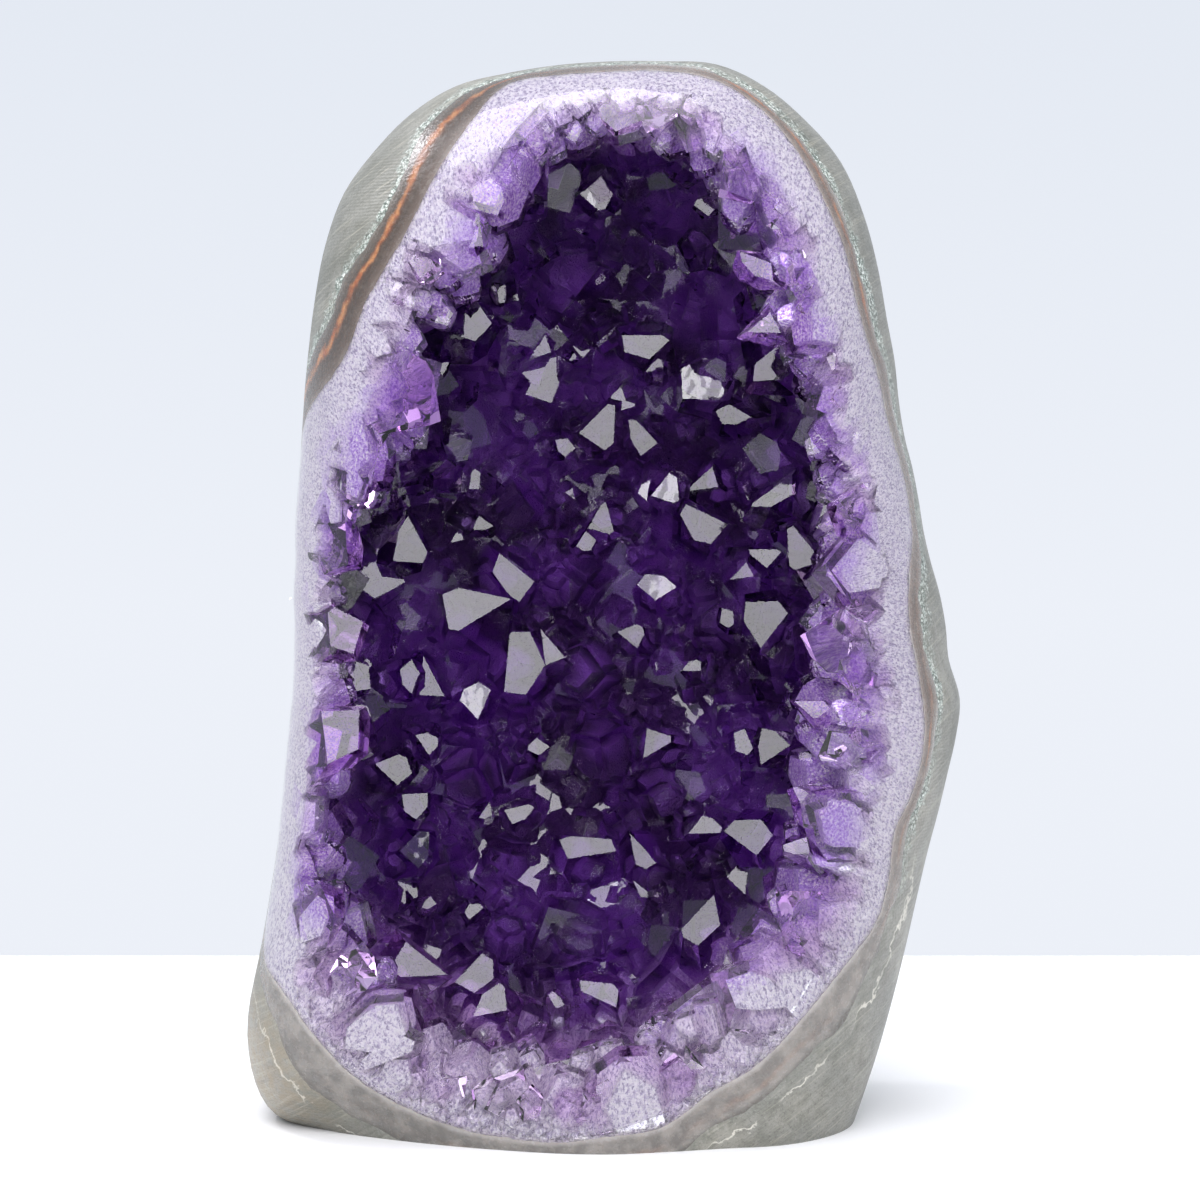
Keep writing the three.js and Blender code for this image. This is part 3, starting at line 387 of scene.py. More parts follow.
def make_stone(inset=0.0):
    """The outer form; inset gives the same form that much smaller."""
    rings = []
    nb = 56
    nf = 64
    for k in range(1, nb):
        f = k / nb * math.pi / 2
        t = np.full(SEG, math.sin(f) ** (2 / BACK_POWER))
        y = BACK_RISE * math.cos(f) ** (2 / BACK_POWER) + skin_relief(ANG, t)
        rings.append(ring_points(ANG, back_radius(ANG, t) - inset * t, y - inset))
    rings.append(ring_points(ANG, radius_at(R_STONE, ANG) - inset, np.zeros(SEG)))
    fine = [1 - (1 - s) ** 1.0 for s in np.linspace(0, 1, nf)]
    for s in fine[1:]:
        # close stations on the rim, wide ones in the open middle
        t = 1 - 0.52 * s ** 1.25
        rings.append(ring_points(ANG, t * (radius_at(R_STONE, ANG) - inset), dome_y(np.full(SEG, t)) * (1 - inset / DOME_RISE)))
    rings = np.array(rings)
    # natural skin: rough behind the widest outline, ground smooth in front of it
    y = rings[..., 1]
    rough = smoothstep(-2.5, 9.0, y)
    d = (1.35 * value_noise(rings, 17, 1) + 0.75 * value_noise(rings, 7.5, 2) + 0.42 * value_noise(rings, 3.4, 3)
         + 0.22 * value_noise(rings, 1.7, 4))
    pits = np.clip(value_noise(rings, 5.2, 5) - 0.42, 0, 1) * 2.6
    d = (d - pits) * rough - 0.35 * rough
    centre = np.array([AXIS_X, -10.0, AXIS_Z])
    away = rings - centre
    away[..., 0] /= 60 ** 2
    away[..., 1] /= 58 ** 2
    away[..., 2] /= 95 ** 2
    away /= np.linalg.norm(away, axis=-1, keepdims=True)
    rings = rings + away * d[..., None]
    # the ground front is not quite perfect either
    front = 1 - smoothstep(-6, -1, rings[..., 1])
    rings[..., 1] += front * 0.12 * value_noise(rings, 12, 6)
    return grid_mesh("stone", rings, (AXIS_X, BACK_RISE - inset, AXIS_Z), (AXIS_X, inset - DOME_RISE, AXIS_Z))


def half_space():
    bm = bmesh.new()
    bmesh.ops.create_cube(bm, size=400)
    bmesh.ops.translate(bm, verts=bm.verts, vec=(0, 0, 200))
    me = bpy.data.meshes.new("above")
    bm.to_mesh(me)
    bm.free()
    return new_object("above", me)


def make_bowl(name, table, grow, start, depth, power, segments, stations, jag=0.0, jag_size=3.0, seed=0):
    a = np.arange(segments) / segments * 2 * math.pi
    R = radius_at(table, a) + grow
    rings = []
    for k in range(1, stations):
        f = k / stations * math.pi / 2
        rings.append(ring_points(a, R * math.sin(f) ** (2 / power), start + depth * math.cos(f) ** (2 / power)))
    for y in list(np.linspace(start, -52, 14)) + [-70]:
        rings.append(ring_points(a, R, y))
    rings = np.array(rings)
    if jag:
        d = jag * (value_noise(rings, jag_size, seed) + 0.6 * value_noise(rings, jag_size * 0.45, seed + 1))
        out = rings - np.array([AXIS_X, 0, AXIS_Z])
        out[..., 1] = 0
        out /= np.linalg.norm(out, axis=-1, keepdims=True) + 1e-9
        rings = rings + out * d[..., None]
    return grid_mesh(name, rings, (AXIS_X, start + depth, AXIS_Z), (AXIS_X, -70, AXIS_Z))


# ---------------------------------------------------------------------------
# Amethyst points (the same ones as the CAD model's, then smaller ones between)
# ---------------------------------------------------------------------------
class Stream:
    def __init__(self, seed):
        self.s = seed & 0xFFFFFFFF

    def __call__(self):
        self.s = (self.s * 1664525 + 1013904223) & 0xFFFFFFFF
        return (self.s >> 8) / 16777216


def dot(a, b):
    return a[0] * b[0] + a[1] * b[1] + a[2] * b[2]


def mix(a, ka, b, kb):
    return [a[0] * ka + b[0] * kb, a[1] * ka + b[1] * kb, a[2] * ka + b[2] * kb]


def cross(a, b):
    return [a[1] * b[2] - a[2] * b[1], a[2] * b[0] - a[0] * b[2], a[0] * b[1] - a[1] * b[0]]


def unit(a):
    l = math.sqrt(dot(a, a))
    return [a[0] / l, a[1] / l, a[2] / l]


def distance(a, b):
    return math.sqrt((a[0] - b[0]) ** 2 + (a[1] - b[1]) ** 2 + (a[2] - b[2]) ** 2)


def tip_surface(a, s):
    R = radius1(R_MOUTH, a)
    r, y = R, TIP_FRONT + (TIP_START - TIP_FRONT) * s / TUBE_SHARE
    if s > TUBE_SHARE:
        f = (s - TUBE_SHARE) / (1 - TUBE_SHARE) * math.pi / 2
        r = R * math.pow(max(0, math.cos(f)), 2 / TIP_POWER)
        y = TIP_START + TIP_DEPTH * math.pow(math.sin(f), 2 / TIP_POWER)
    return [AXIS_X + r * math.cos(a), y, AXIS_Z + r * math.sin(a)]


def tip_level(p):
    dx, dz = p[0] - AXIS_X, p[2] - AXIS_Z
    R = radius1(R_MOUTH, math.atan2(dz, dx))
    e = max(0, (p[1] - TIP_START) / TIP_DEPTH)
    return math.pow(math.sqrt(dx * dx + dz * dz) / R, TIP_POWER) + math.pow(e, TIP_POWER)


def inward(p):
    h = 0.5
    return unit([
        tip_level([p[0] - h, p[1], p[2]]) - tip_level([p[0] + h, p[1], p[2]]),
        tip_level([p[0], p[1] - h, p[2]]) - tip_level([p[0], p[1] + h, p[2]]) - 1e-4,
        tip_level([p[0], p[1], p[2] - h]) - tip_level([p[0], p[1], p[2] + h])])


def length_to_root(tip, axis):
    l = 4.0
    while l < 34:
        x, y, z = tip[0] - l * axis[0] - AXIS_X, tip[1] - l * axis[1], tip[2] - l * axis[2] - AXIS_Z
        e = max(0, (y - SHELL_START) / (QUARTZ_DEPTH - ROOT_COVER))
        r = math.sqrt(x * x + z * z) / (radius1(R_QUARTZ, math.atan2(z, x)) - ROOT_COVER)
        if r ** SHELL_POWER + e ** SHELL_POWER > 1:
            return l
        l += 0.5
    return 34.0


def point_planes(tip, axis, across, half, shape, root):
    """Bounding planes (normal, offset) about the tip: six prism and six pyramid faces and the root."""
    side = cross(axis, across)
    planes = []
    for i in range(6):
        c, s = math.cos(i * math.pi / 3), math.sin(i * math.pi / 3)
        out = mix(across, c, side, s)
        planes.append((out, half * shape[0][i]))
        planes.append((mix(out, math.sin(PYRAMID_ANGLE), axis, math.cos(PYRAMID_ANGLE)), half * shape[1][i]))
    planes.append(([-axis[0], -axis[1], -axis[2]], root))
    return planes


_triples = {}


def convex_mesh(name, origin, planes):
    """The closed solid inside a set of planes, or None if it has no clean form."""
    N = np.array([p[0] for p in planes])
    D = np.array([p[1] for p in planes])
    n = len(D)
    if n not in _triples:
        _triples[n] = np.array([(i, j, k) for i in range(n) for j in range(i + 1, n) for k in range(j + 1, n)])
    tri = _triples[n]
    A = N[tri]
    bc = np.cross(A[:, 1], A[:, 2])
    det = np.einsum("ij,ij->i", A[:, 0], bc)
    ok = np.abs(det) > 1e-7
    tri, A, bc, det = tri[ok], A[ok], bc[ok], det[ok]
    d = D[tri]
    V = (bc * d[:, :1] + np.cross(A[:, 2], A[:, 0]) * d[:, 1:2] + np.cross(A[:, 0], A[:, 1]) * d[:, 2:]) / det[:, None]
    V = V[np.all(V @ N.T <= D + 1e-6, axis=1)]
    corners = []
    for v in V:
        if not corners or np.abs(np.array(corners) - v).sum(1).min() > 3e-3:
            corners.append(v)
    if len(corners) < 4:
        return None
    C = np.array(corners)
    faces, edges = [], {}
    for k in range(n):
        on = np.nonzero(np.abs(C @ N[k] - D[k]) < 2.5e-3)[0]
        if len(on) < 3:
            continue
        P = C[on]
        mid = P.mean(0)
        u = P[0] - mid
        u /= np.linalg.norm(u)
        w = np.cross(N[k], u)
        ang = np.arctan2((P - mid) @ w, (P - mid) @ u)
        f = [int(q) for q in on[np.argsort(ang)]]
        faces.append(f)
        for i, q in enumerate(f):
            edges[(q, f[(i + 1) % len(f)])] = edges.get((q, f[(i + 1) % len(f)]), 0) + 1
    if any(c != 1 or (e[1], e[0]) not in edges for e, c in edges.items()):
        return None
    if len({q for f in faces for q in f}) != len(C):
        return None
    me = bpy.data.meshes.new(name)
    me.from_pydata((C + np.array(origin)).tolist(), [], faces)
    return me


def scattered_shape(random):
    prism, pyramid = [], []
    for i in range(6):
        prism.append(0.88 + 0.26 * random())
        pyramid.append(0.16 * random() - 0.08 if i % 2 == 0 else 0.20 + 0.45 * random())
    return prism, pyramid


def tip_area(a, s):
    h = 0.004
    p = tip_surface(a, s)
    return math.sqrt(distance(tip_surface(a + h, s), p) ** 2 * distance(tip_surface(a, min(1, s + h)), p) ** 2) / (h * h)


def main_points(random):
    points = []
    for row in MAIN_FACES:
        x, y, z, turn, rise = row[:5]
        flat = row[5:]
        tip = [x, y, z]
        az, el = turn * math.pi / 180, rise * math.pi / 180
        face = [math.sin(az) * math.cos(el), -math.cos(az) * math.cos(el), math.sin(el)]
        right = unit([math.cos(az), math.sin(az), 0])
        up = cross(face, right)
        corners = [mix(right, flat[i], up, flat[i + 1]) for i in range(0, len(flat), 2)]
        reach = max(math.sqrt(dot(c, c)) for c in corners)
        axis = unit(mix(face, 0.55, inward(tip), 0.85))
        planes = [(face, 0.0)]
        for i, c in enumerate(corners):
            d = corners[(i + 1) % len(corners)]
            out = unit(cross(mix(d, 1, c, -1), face))
            bevel = (FACE_BEVEL[0] + (FACE_BEVEL[1] - FACE_BEVEL[0]) * random()) * math.pi / 180
            side = mix(out, math.sin(bevel), face, math.cos(bevel))
            planes.append((side, dot(side, c)))
        u = unit(cross(axis, [0, 0, 1]))
        v = cross(axis, u)
        spin = 2 * math.pi * random()
        for i in range(6):
            out = mix(u, math.cos(spin + i * math.pi / 3), v, math.sin(spin + i * math.pi / 3))
            planes.append((out, max(reach * (1 + 0.3 * random()), 0.3 + max(dot(out, c) for c in corners))))
        root = length_to_root(tip, axis)
        planes.append(([-axis[0], -axis[1], -axis[2]], root))
        points.append(dict(tip=tip, half=reach, face=face, axis=axis, planes=planes, root=root))
    return points


class Spacing:
    """Keeps tips apart, and keeps new points off the broad faces."""
    def __init__(self, points):
        faced = [p for p in points if p["face"] is not None]
        plain = [p for p in points if p["face"] is None]
        self.ft = np.array([p["tip"] for p in faced])
        self.fh = np.array([p["half"] for p in faced])
        self.fn = np.array([p["face"] for p in faced])
        self.t = np.zeros((20000, 3))
        self.h = np.zeros(20000)
        self.n = 0
        for p in plain:
            self.add(p["tip"], p["half"])

    def add(self, tip, half):
        self.t[self.n] = tip
        self.h[self.n] = half
        self.n += 1

    def close(self, tip, half, spacing):
        w = np.array(tip) - self.ft
        gap = np.sqrt((w * w).sum(1))
        ahead = (w * self.fn).sum(1)
        if np.any((gap < 0.6 * (self.fh + half)) | ((ahead > -1 - 0.35 * half) & (gap < self.fh + 0.9 * half))):
            return True
        w = np.array(tip) - self.t[:self.n]
        gap = np.sqrt((w * w).sum(1))
        return bool(np.any(gap < spacing * 0.5 * (self.h[:self.n] + half)))


LARGEST_AREA = max(tip_area(i / 64 * 2 * math.pi, (j + 0.5) / 40) for i in range(64) for j in range(40))


def scatter(points, random, tries, radii, lifts, tilt, spacing, shallow=1.0):
    """Points standing on the surface through the tips, in the order the CAD draws them."""
    start = len(points)
    room = Spacing(points)
    for n in range(tries):
        a, s = 2 * math.pi * random(), 0.995 * random()
        keep = random()
        half = radii[0] + (radii[1] - radii[0]) * random()
        lift = lifts[0] * random() + lifts[1]
        lean, lean_turn, spin = tilt * math.sqrt(random()), 2 * math.pi * random(), 2 * math.pi * random()
        shape = scattered_shape(random)
        if keep * LARGEST_AREA > tip_area(a, s):
            continue
        base = tip_surface(a, s)
        wall = inward(base)
        u = unit(cross(wall, [0, 0, 1] if abs(wall[2]) < 0.8 else [1, 0, 0]))
        v = cross(wall, u)
        t = mix(u, math.cos(lean_turn), v, math.sin(lean_turn))
        axis = unit(mix(wall, math.cos(lean), t, math.sin(lean)))
        tip = mix(base, 1, wall, lift)
        if room.close(tip, half, spacing):
            continue
        room.add(tip, half)
        e = unit(cross(axis, u))
        f = cross(axis, e)
        across = mix(e, math.cos(spin), f, math.sin(spin))
        root = length_to_root(tip, axis) * shallow
        points.append(dict(tip=tip, half=half, face=None, axis=axis, across=across, shape=shape, root=root,
                           planes=point_planes(tip, axis, across, half, shape, root), level=s))
    return len(points) - start


# The ring between the agate and the hollow: fine sugary points on the agate that
# grow coarser towards the hollow and sink away from the ground face at the lip.
def ring_depth(d, width):
    """How far the tips lie under the ground face, d from the agate (mm)."""
    d, width = np.asarray(d, float), np.asarray(width, float)
    over = np.clip((d - 0.50 * width) / (0.50 * width), 0, 1.2)
    return 0.1 + 0.7 * smoothstep(0.5, 6.0, d) + 8.0 * over ** 2


def ring_grain(d):
    return np.clip(0.55 + 0.30 * np.asarray(d, float), 0.6, 4.4)


def stone_y(r, a):
    t = min(0.9999, r / radius1(R_STONE, a))
    return -DOME_RISE * (1 - t ** DOME_POWER) ** (1 / DOME_POWER)


def ring_points_pass(points, random, tries, span, size, spacing, lower):
    """span(width) gives the range of d; size multiplies the grain."""
    start = len(points)
    room = Spacing(points)
    for n in range(tries):
        a, q = 2 * math.pi * random(), random()
        vary, drop = random(), random()
        turn, rise, spin = 0.34 * (random() - 0.5) * 2, 0.30 * (random() - 0.5) * 2, 2 * math.pi * random()
        shape = scattered_shape(random)
        RQ = radius1(R_QUARTZ, a)
        width = RQ - radius1(R_MOUTH, a)
        lo, hi = span(width)
        d = lo + (hi - lo) * q
        half = float(ring_grain(d)) * (size[0] + (size[1] - size[0]) * vary)
        r = RQ - d
        lean = (0.34 + 0.30 * min(1, d / width)) * math.pi / 2 + rise
        proud = max(0.0, math.sin(lean) - 1.27 * math.cos(lean) + 0.25)
        y = stone_y(r, a) + float(ring_depth(d, width)) + (lower + proud - 0.05 + 0.5 * drop) * half
        tip = [AXIS_X + r * math.cos(a), y, AXIS_Z + r * math.sin(a)]
        if room.close(tip, half, spacing):
            continue
        room.add(tip, half)
        phi = (0.34 + 0.30 * min(1, d / width)) * math.pi / 2 + rise
        axis = unit([-math.cos(a + turn) * math.sin(phi), -math.cos(phi), -math.sin(a + turn) * math.sin(phi)])
        e = unit(cross(axis, [0.13, 0.98, 0.11]))
        f = cross(axis, e)
        across = mix(e, math.cos(spin), f, math.sin(spin))
        root = min(length_to_root(tip, axis), 3.2 * half + 4.0) if half < 2.2 else length_to_root(tip, axis)
        points.append(dict(tip=tip, half=half, face=None, axis=axis, across=across, shape=shape, root=root,
                           planes=point_planes(tip, axis, across, half, shape, root), level=d / width, inset=d))
    return len(points) - start


random = Stream(POINT_SEED)
points = main_points(random)
for p in points:
    p["kind"] = "main"
counts = [len(points), scatter(points, random, POINT_TRIES, POINT_RADIUS, (4.4, -2.4), POINT_TILT, POINT_SPACING)]
for p in points[counts[0]:]:
    p["kind"] = "large"
n0 = len(points)
counts.append(ring_points_pass(points, Stream(31), 2600, lambda w: (0.45 * w, w + 0.8), (1.15, 1.65), 1.30, 0.0))
for p in points[n0:]:
    p["kind"] = "lip"
n0 = len(points)
counts.append(ring_points_pass(points, Stream(77), 4200, lambda w: (2.6, 0.80 * w), (0.7, 1.15), 1.22, 0.05))
counts.append(ring_points_pass(points, Stream(203), 9000, lambda w: (0.4, 5.5), (0.7, 1.2), 1.16, 0.0))
counts.append(ring_points_pass(points, Stream(419), 4200, lambda w: (1.5, w + 0.5), (0.42, 0.8), 1.10, 0.45))
for p in points[n0:]:
    p["kind"] = "ring"
n0 = len(points)
counts.append(scatter(points, Stream(911), 8000, (2.9, 5.0), (4.0, -5.4), 0.5, 1.25, 0.9))
for p in points[n0:]:
    p["kind"] = "medium"
n0 = len(points)
counts.append(scatter(points, Stream(5077), 16000, (1.8, 3.4), (4.0, -9.6), 0.6, 1.02, 0.95))
for p in points[n0:]:
    p["kind"] = "small"
print("points", counts)

# ---------------------------------------------------------------------------
# Solids
# ---------------------------------------------------------------------------
import time
_t0 = time.time()
stone = make_stone()
boolean(stone, "INTERSECT", half_space())
print("stone", len(stone.data.polygons), round(time.time() - _t0, 1))

fine = 640
quartz_out = make_bowl("quartz_out", R_QUARTZ, 0, SHELL_START, QUARTZ_DEPTH, SHELL_POWER, fine, 22, 0.16, 1.6, 11)
agate_out = make_bowl("agate_out", R_AGATE, 0, SHELL_START, AGATE_DEPTH, SHELL_POWER, fine, 22, 0.62, 5.0, 13)

rind = copy_object(stone, "basalt")
boolean(rind, "DIFFERENCE", agate_out, keep=True)
band = copy_object(stone, "agate")
boolean(band, "INTERSECT", agate_out)
boolean(band, "DIFFERENCE", quartz_out, keep=True)
keep_largest(band)
print("rind, agate", len(rind.data.polygons), len(band.data.polygons), round(time.time() - _t0, 1))

def hollow_form(name, relief, under, segments, jag, jag_size, seed):
    """The space in front of the crystals: a bowl behind the tips that runs up and out
    under the ring to its edge.  relief is how far outside R_MOUTH the bowl lies and
    under(d) how far under the ring's tips."""
    a = np.arange(segments) / segments * 2 * math.pi
    R, RS, RQ = radius_at(R_MOUTH, a), radius_at(R_STONE, a), radius_at(R_QUARTZ, a)
    width = RQ - R
    relief = np.minimum(relief, width - 2.4)
    rings = []
    for k in range(1, 15):
        f = k / 15 * math.pi / 2
        rings.append(ring_points(a, (R + relief) * math.sin(f) ** (2 / TIP_POWER),
                                 TIP_START + (TIP_DEPTH + relief.mean()) * math.cos(f) ** (2 / TIP_POWER)))

    def under_ring(d):
        r = RQ - d
        return r, dome_y(np.clip(r / RS, 0, 0.9999)) + ring_depth(d, width) + under(d)

    d_neck = width - relief
    r_neck, y_neck = under_ring(d_neck)
    y_neck = np.minimum(y_neck, TIP_START + 1.0)
    for k in np.linspace(0, 0.92, 6):
        rings.append(ring_points(a, R + relief, TIP_START + (y_neck - TIP_START) * k))
    for k in np.linspace(0, 1, 14):
        d = 0.45 + (d_neck - 0.45) * (1 - k) ** 1.3
        r, y = under_ring(d)
        rings.append(ring_points(a, r, np.minimum(y, y_neck)))
    r, y = under_ring(np.full(segments, 0.45))
    rings.append(ring_points(a, r + 0.02, y - 2.5))
    rings.append(ring_points(a, r + 0.02, np.full(segments, -75.0)))
    rings = np.array(rings)
    d = jag * (value_noise(rings, jag_size, seed) + 0.6 * value_noise(rings, jag_size * 0.45, seed + 1))
    d *= smoothstep(-50, -34, rings[..., 1])
    out = rings - np.array([AXIS_X, 0, AXIS_Z])
    out[..., 1] = 0
    out /= np.linalg.norm(out, axis=-1, keepdims=True) + 1e-9
    rings = rings + out * d[..., None]
    return grid_mesh(name, rings, (AXIS_X, TIP_START + TIP_DEPTH + float(np.mean(relief)), AXIS_Z), (AXIS_X, -75.0, AXIS_Z))


def gather(name, solids):
    col = bpy.data.collections.new(name)
    scene.collection.children.link(col)
    for origin, planes in solids:
        me = convex_mesh("p", origin, planes)
        if me is None:
            gather.refused += 1
            continue
        col.objects.link(bpy.data.objects.new("p", me))
    return col


gather.refused = 0


crystals = copy_object(quartz_out, "amethyst")
boolean(crystals, "DIFFERENCE", hollow_form("hollow", 9.5, lambda d: 0.75 * ring_grain(d), 240, 1.3, 5.0, 31))
boolean(crystals, "UNION", gather("points", [(p["tip"], p["planes"]) for p in points]))
boolean(crystals, "INTERSECT", quartz_out, keep=True)
boolean(crystals, "INTERSECT", stone, keep=True)
chips = keep_largest(crystals)
print("crystals", len(crystals.data.polygons), chips, round(time.time() - _t0, 1))


# Milky quartz sealed inside the clear: the massive root of the comb, and a white
# core inside each point that ends well short of the tip.
def core_of(p, rng):
    kind = p["kind"]
    pull = {"main": 5.5, "large": 6.0, "lip": 3.2, "ring": 1.0, "medium": 5.0}[kind]
    if kind == "lip":
        pull = (0.24 + 0.22 * rng.uniform()) * p["half"] + 1.4 * p["level"] ** 3 * rng.uniform(0.3, 1)
    elif kind == "ring":
        pull = (0.28 + 0.22 * rng.uniform()) * p["half"] + 0.06 * p["inset"]
    elif p["tip"][1] < -30:
        pull *= 0.5
    tip = mix(p["tip"], 1, p["axis"], -pull)
    root = p["root"] - pull + (1.5 if kind == "ring" else 3)
    if root < 1.0:
        return None
    if p["face"] is not None:
        # a plain six-sided core under the broad face
        u = unit(cross(p["axis"], [0.2, 0.1, 0.97]))
        return tip, point_planes(tip, p["axis"], u, 0.5 * p["half"], ([1.0] * 6, [0.0, 0.3] * 3), root)
    return tip, point_planes(tip, p["axis"], p["across"], {"ring": 0.84, "lip": 0.80}.get(kind, 0.62) * p["half"], p["shape"], root)


core_rng = np.random.RandomState(19)
cores = [c for c in (core_of(p, core_rng) for p in points if p["kind"] != "small") if c]
comb = make_bowl("comb", R_QUARTZ, 0.05, SHELL_START, QUARTZ_DEPTH, SHELL_POWER, fine, 22)
boolean(comb, "DIFFERENCE", hollow_form("comb_hollow", 13.0, lambda d: 0.75 * ring_grain(d) + 0.35 + 0.16 * np.asarray(d), 240, 0.5, 3.0, 21))
boolean(comb, "UNION", gather("cores", cores))
boolean(comb, "INTERSECT", quartz_out, keep=True)
inner = make_stone(0.35)
boolean(inner, "INTERSECT", half_space())
boolean(comb, "INTERSECT", inner)
keep_largest(comb)


def sealed_flakes(rng, count):
    """Thin white flakes, each wholly inside the clear quartz of a
    lip or ring point and outside its milky core. Partly real healed cracks and specks, partly painted glints standing
    in for light the cracks catch."""
    def tree_of(ob):
        return BVHTree.FromPolygons([v.co for v in ob.data.vertices], [tuple(q.vertices) for q in ob.data.polygons])

    def inside(tree, c):
        """How far c lies inside the closed mesh; negative outside."""
        near, normal, _, gap = tree.find_nearest(c)
        return gap if (near - c).dot(normal) > 0 else -gap

    clear, core = tree_of(crystals), tree_of(comb)
    hosts = [p for p in points if p["kind"] in ("lip", "ring") and p["half"] > 1.0]
    verts, faces = [], []
    for _ in range(60000):
        if len(verts) >= count * 6:
            break
        p = hosts[rng.randint(len(hosts))]
        side = np.array(cross(p["axis"], p["across"])) * rng.uniform(-0.45, 0.45) + np.array(p["across"]) * rng.uniform(-0.45, 0.45)
        c = np.array(p["tip"]) - np.array(p["axis"]) * p["half"] * rng.uniform(0.62, 1.5) + side * p["half"]
        r, a = math.hypot(c[0] - AXIS_X, c[2] - AXIS_Z), math.atan2(c[2] - AXIS_Z, c[0] - AXIS_X)
        size = rng.uniform(0.16, 0.36) * (1 + 1.2 * rng.uniform() ** 4)
        room = inside(clear, Vector(c))
        if r > radius1(R_QUARTZ, a) - 0.9 or not size + 0.08 < room < 1.8 or inside(core, Vector(c)) > -(size + 0.05):
            continue
        n = rng.normal(size=3)
        n /= np.linalg.norm(n)
        u = np.cross(n, [0.3, 0.5, 0.8])
        u /= np.linalg.norm(u)
        v = np.cross(n, u)
        lean = rng.uniform(-0.5, 0.5)
        base = len(verts)
        verts += [c + u * size, c - u * size * 0.8, c + v * size * 0.7 + u * size * lean, c - v * size * 0.6, c + n * 0.05, c - n * 0.05]
        for i, j in ((0, 2), (2, 1), (1, 3), (3, 0)):
            faces += [(base + 4, base + i, base + j), (base + 5, base + j, base + i)]
    me = bpy.data.meshes.new("flakes")
    me.from_pydata([tuple(float(x) for x in v) for v in verts], [], faces)
    bm = bmesh.new()
    bm.from_mesh(me)
    bmesh.ops.recalc_face_normals(bm, faces=bm.faces)
    bm.to_mesh(me)
    bm.free()
    return new_object("flakes", me)


flakes = sealed_flakes(np.random.RandomState(83), 2600)
print("flakes", len(flakes.data.polygons) // 8)
for o in (stone, quartz_out):
    bpy.data.objects.remove(o)
print("comb", len(comb.data.polygons), len(cores), gather.refused, round(time.time() - _t0, 1))

# ---------------------------------------------------------------------------
# Attributes the materials use (distances in mm)
# ---------------------------------------------------------------------------
def layer_numbers(co):
    x, y, z = co[:, 0] - AXIS_X, co[:, 1], co[:, 2] - AXIS_Z
    a = np.arctan2(z, x)
    r = np.hypot(x, z)
    e = np.clip((y - SHELL_START) / QUARTZ_DEPTH, 0, 0.999)
    eg = np.clip((y - SHELL_START) / AGATE_DEPTH, 0, 0.999)
    rq = radius_at(R_QUARTZ, a) * (1 - e ** SHELL_POWER) ** (1 / SHELL_POWER)
    ra = radius_at(R_AGATE, a) * (1 - eg ** SHELL_POWER) ** (1 / SHELL_POWER)
    return a, r, rq, ra


co = coordinates(rind)
a, r, rq, ra = layer_numbers(co)
put_attribute(rind, "from_agate", r - ra)
put_attribute(rind, "natural", smoothstep(-2.5, 4.0, co[:, 1]))
co = coordinates(band)
a, r, rq, ra = layer_numbers(co)
put_attribute(band, "layer", (r - rq) / (ra - rq))
put_attribute(band, "along", a)
co = coordinates(comb)
a, r, rq, ra = layer_numbers(co)
put_attribute(comb, "inset", rq - r)
depth = co[:, 1] - dome_y(np.clip(r / radius_at(R_STONE, a), 0, 0.9999))
put_attribute(comb, "depth", depth)
put_attribute(comb, "grain", np.stack([a * 70, (rq - r) * 0.42, co[:, 1] * 0.6], -1))

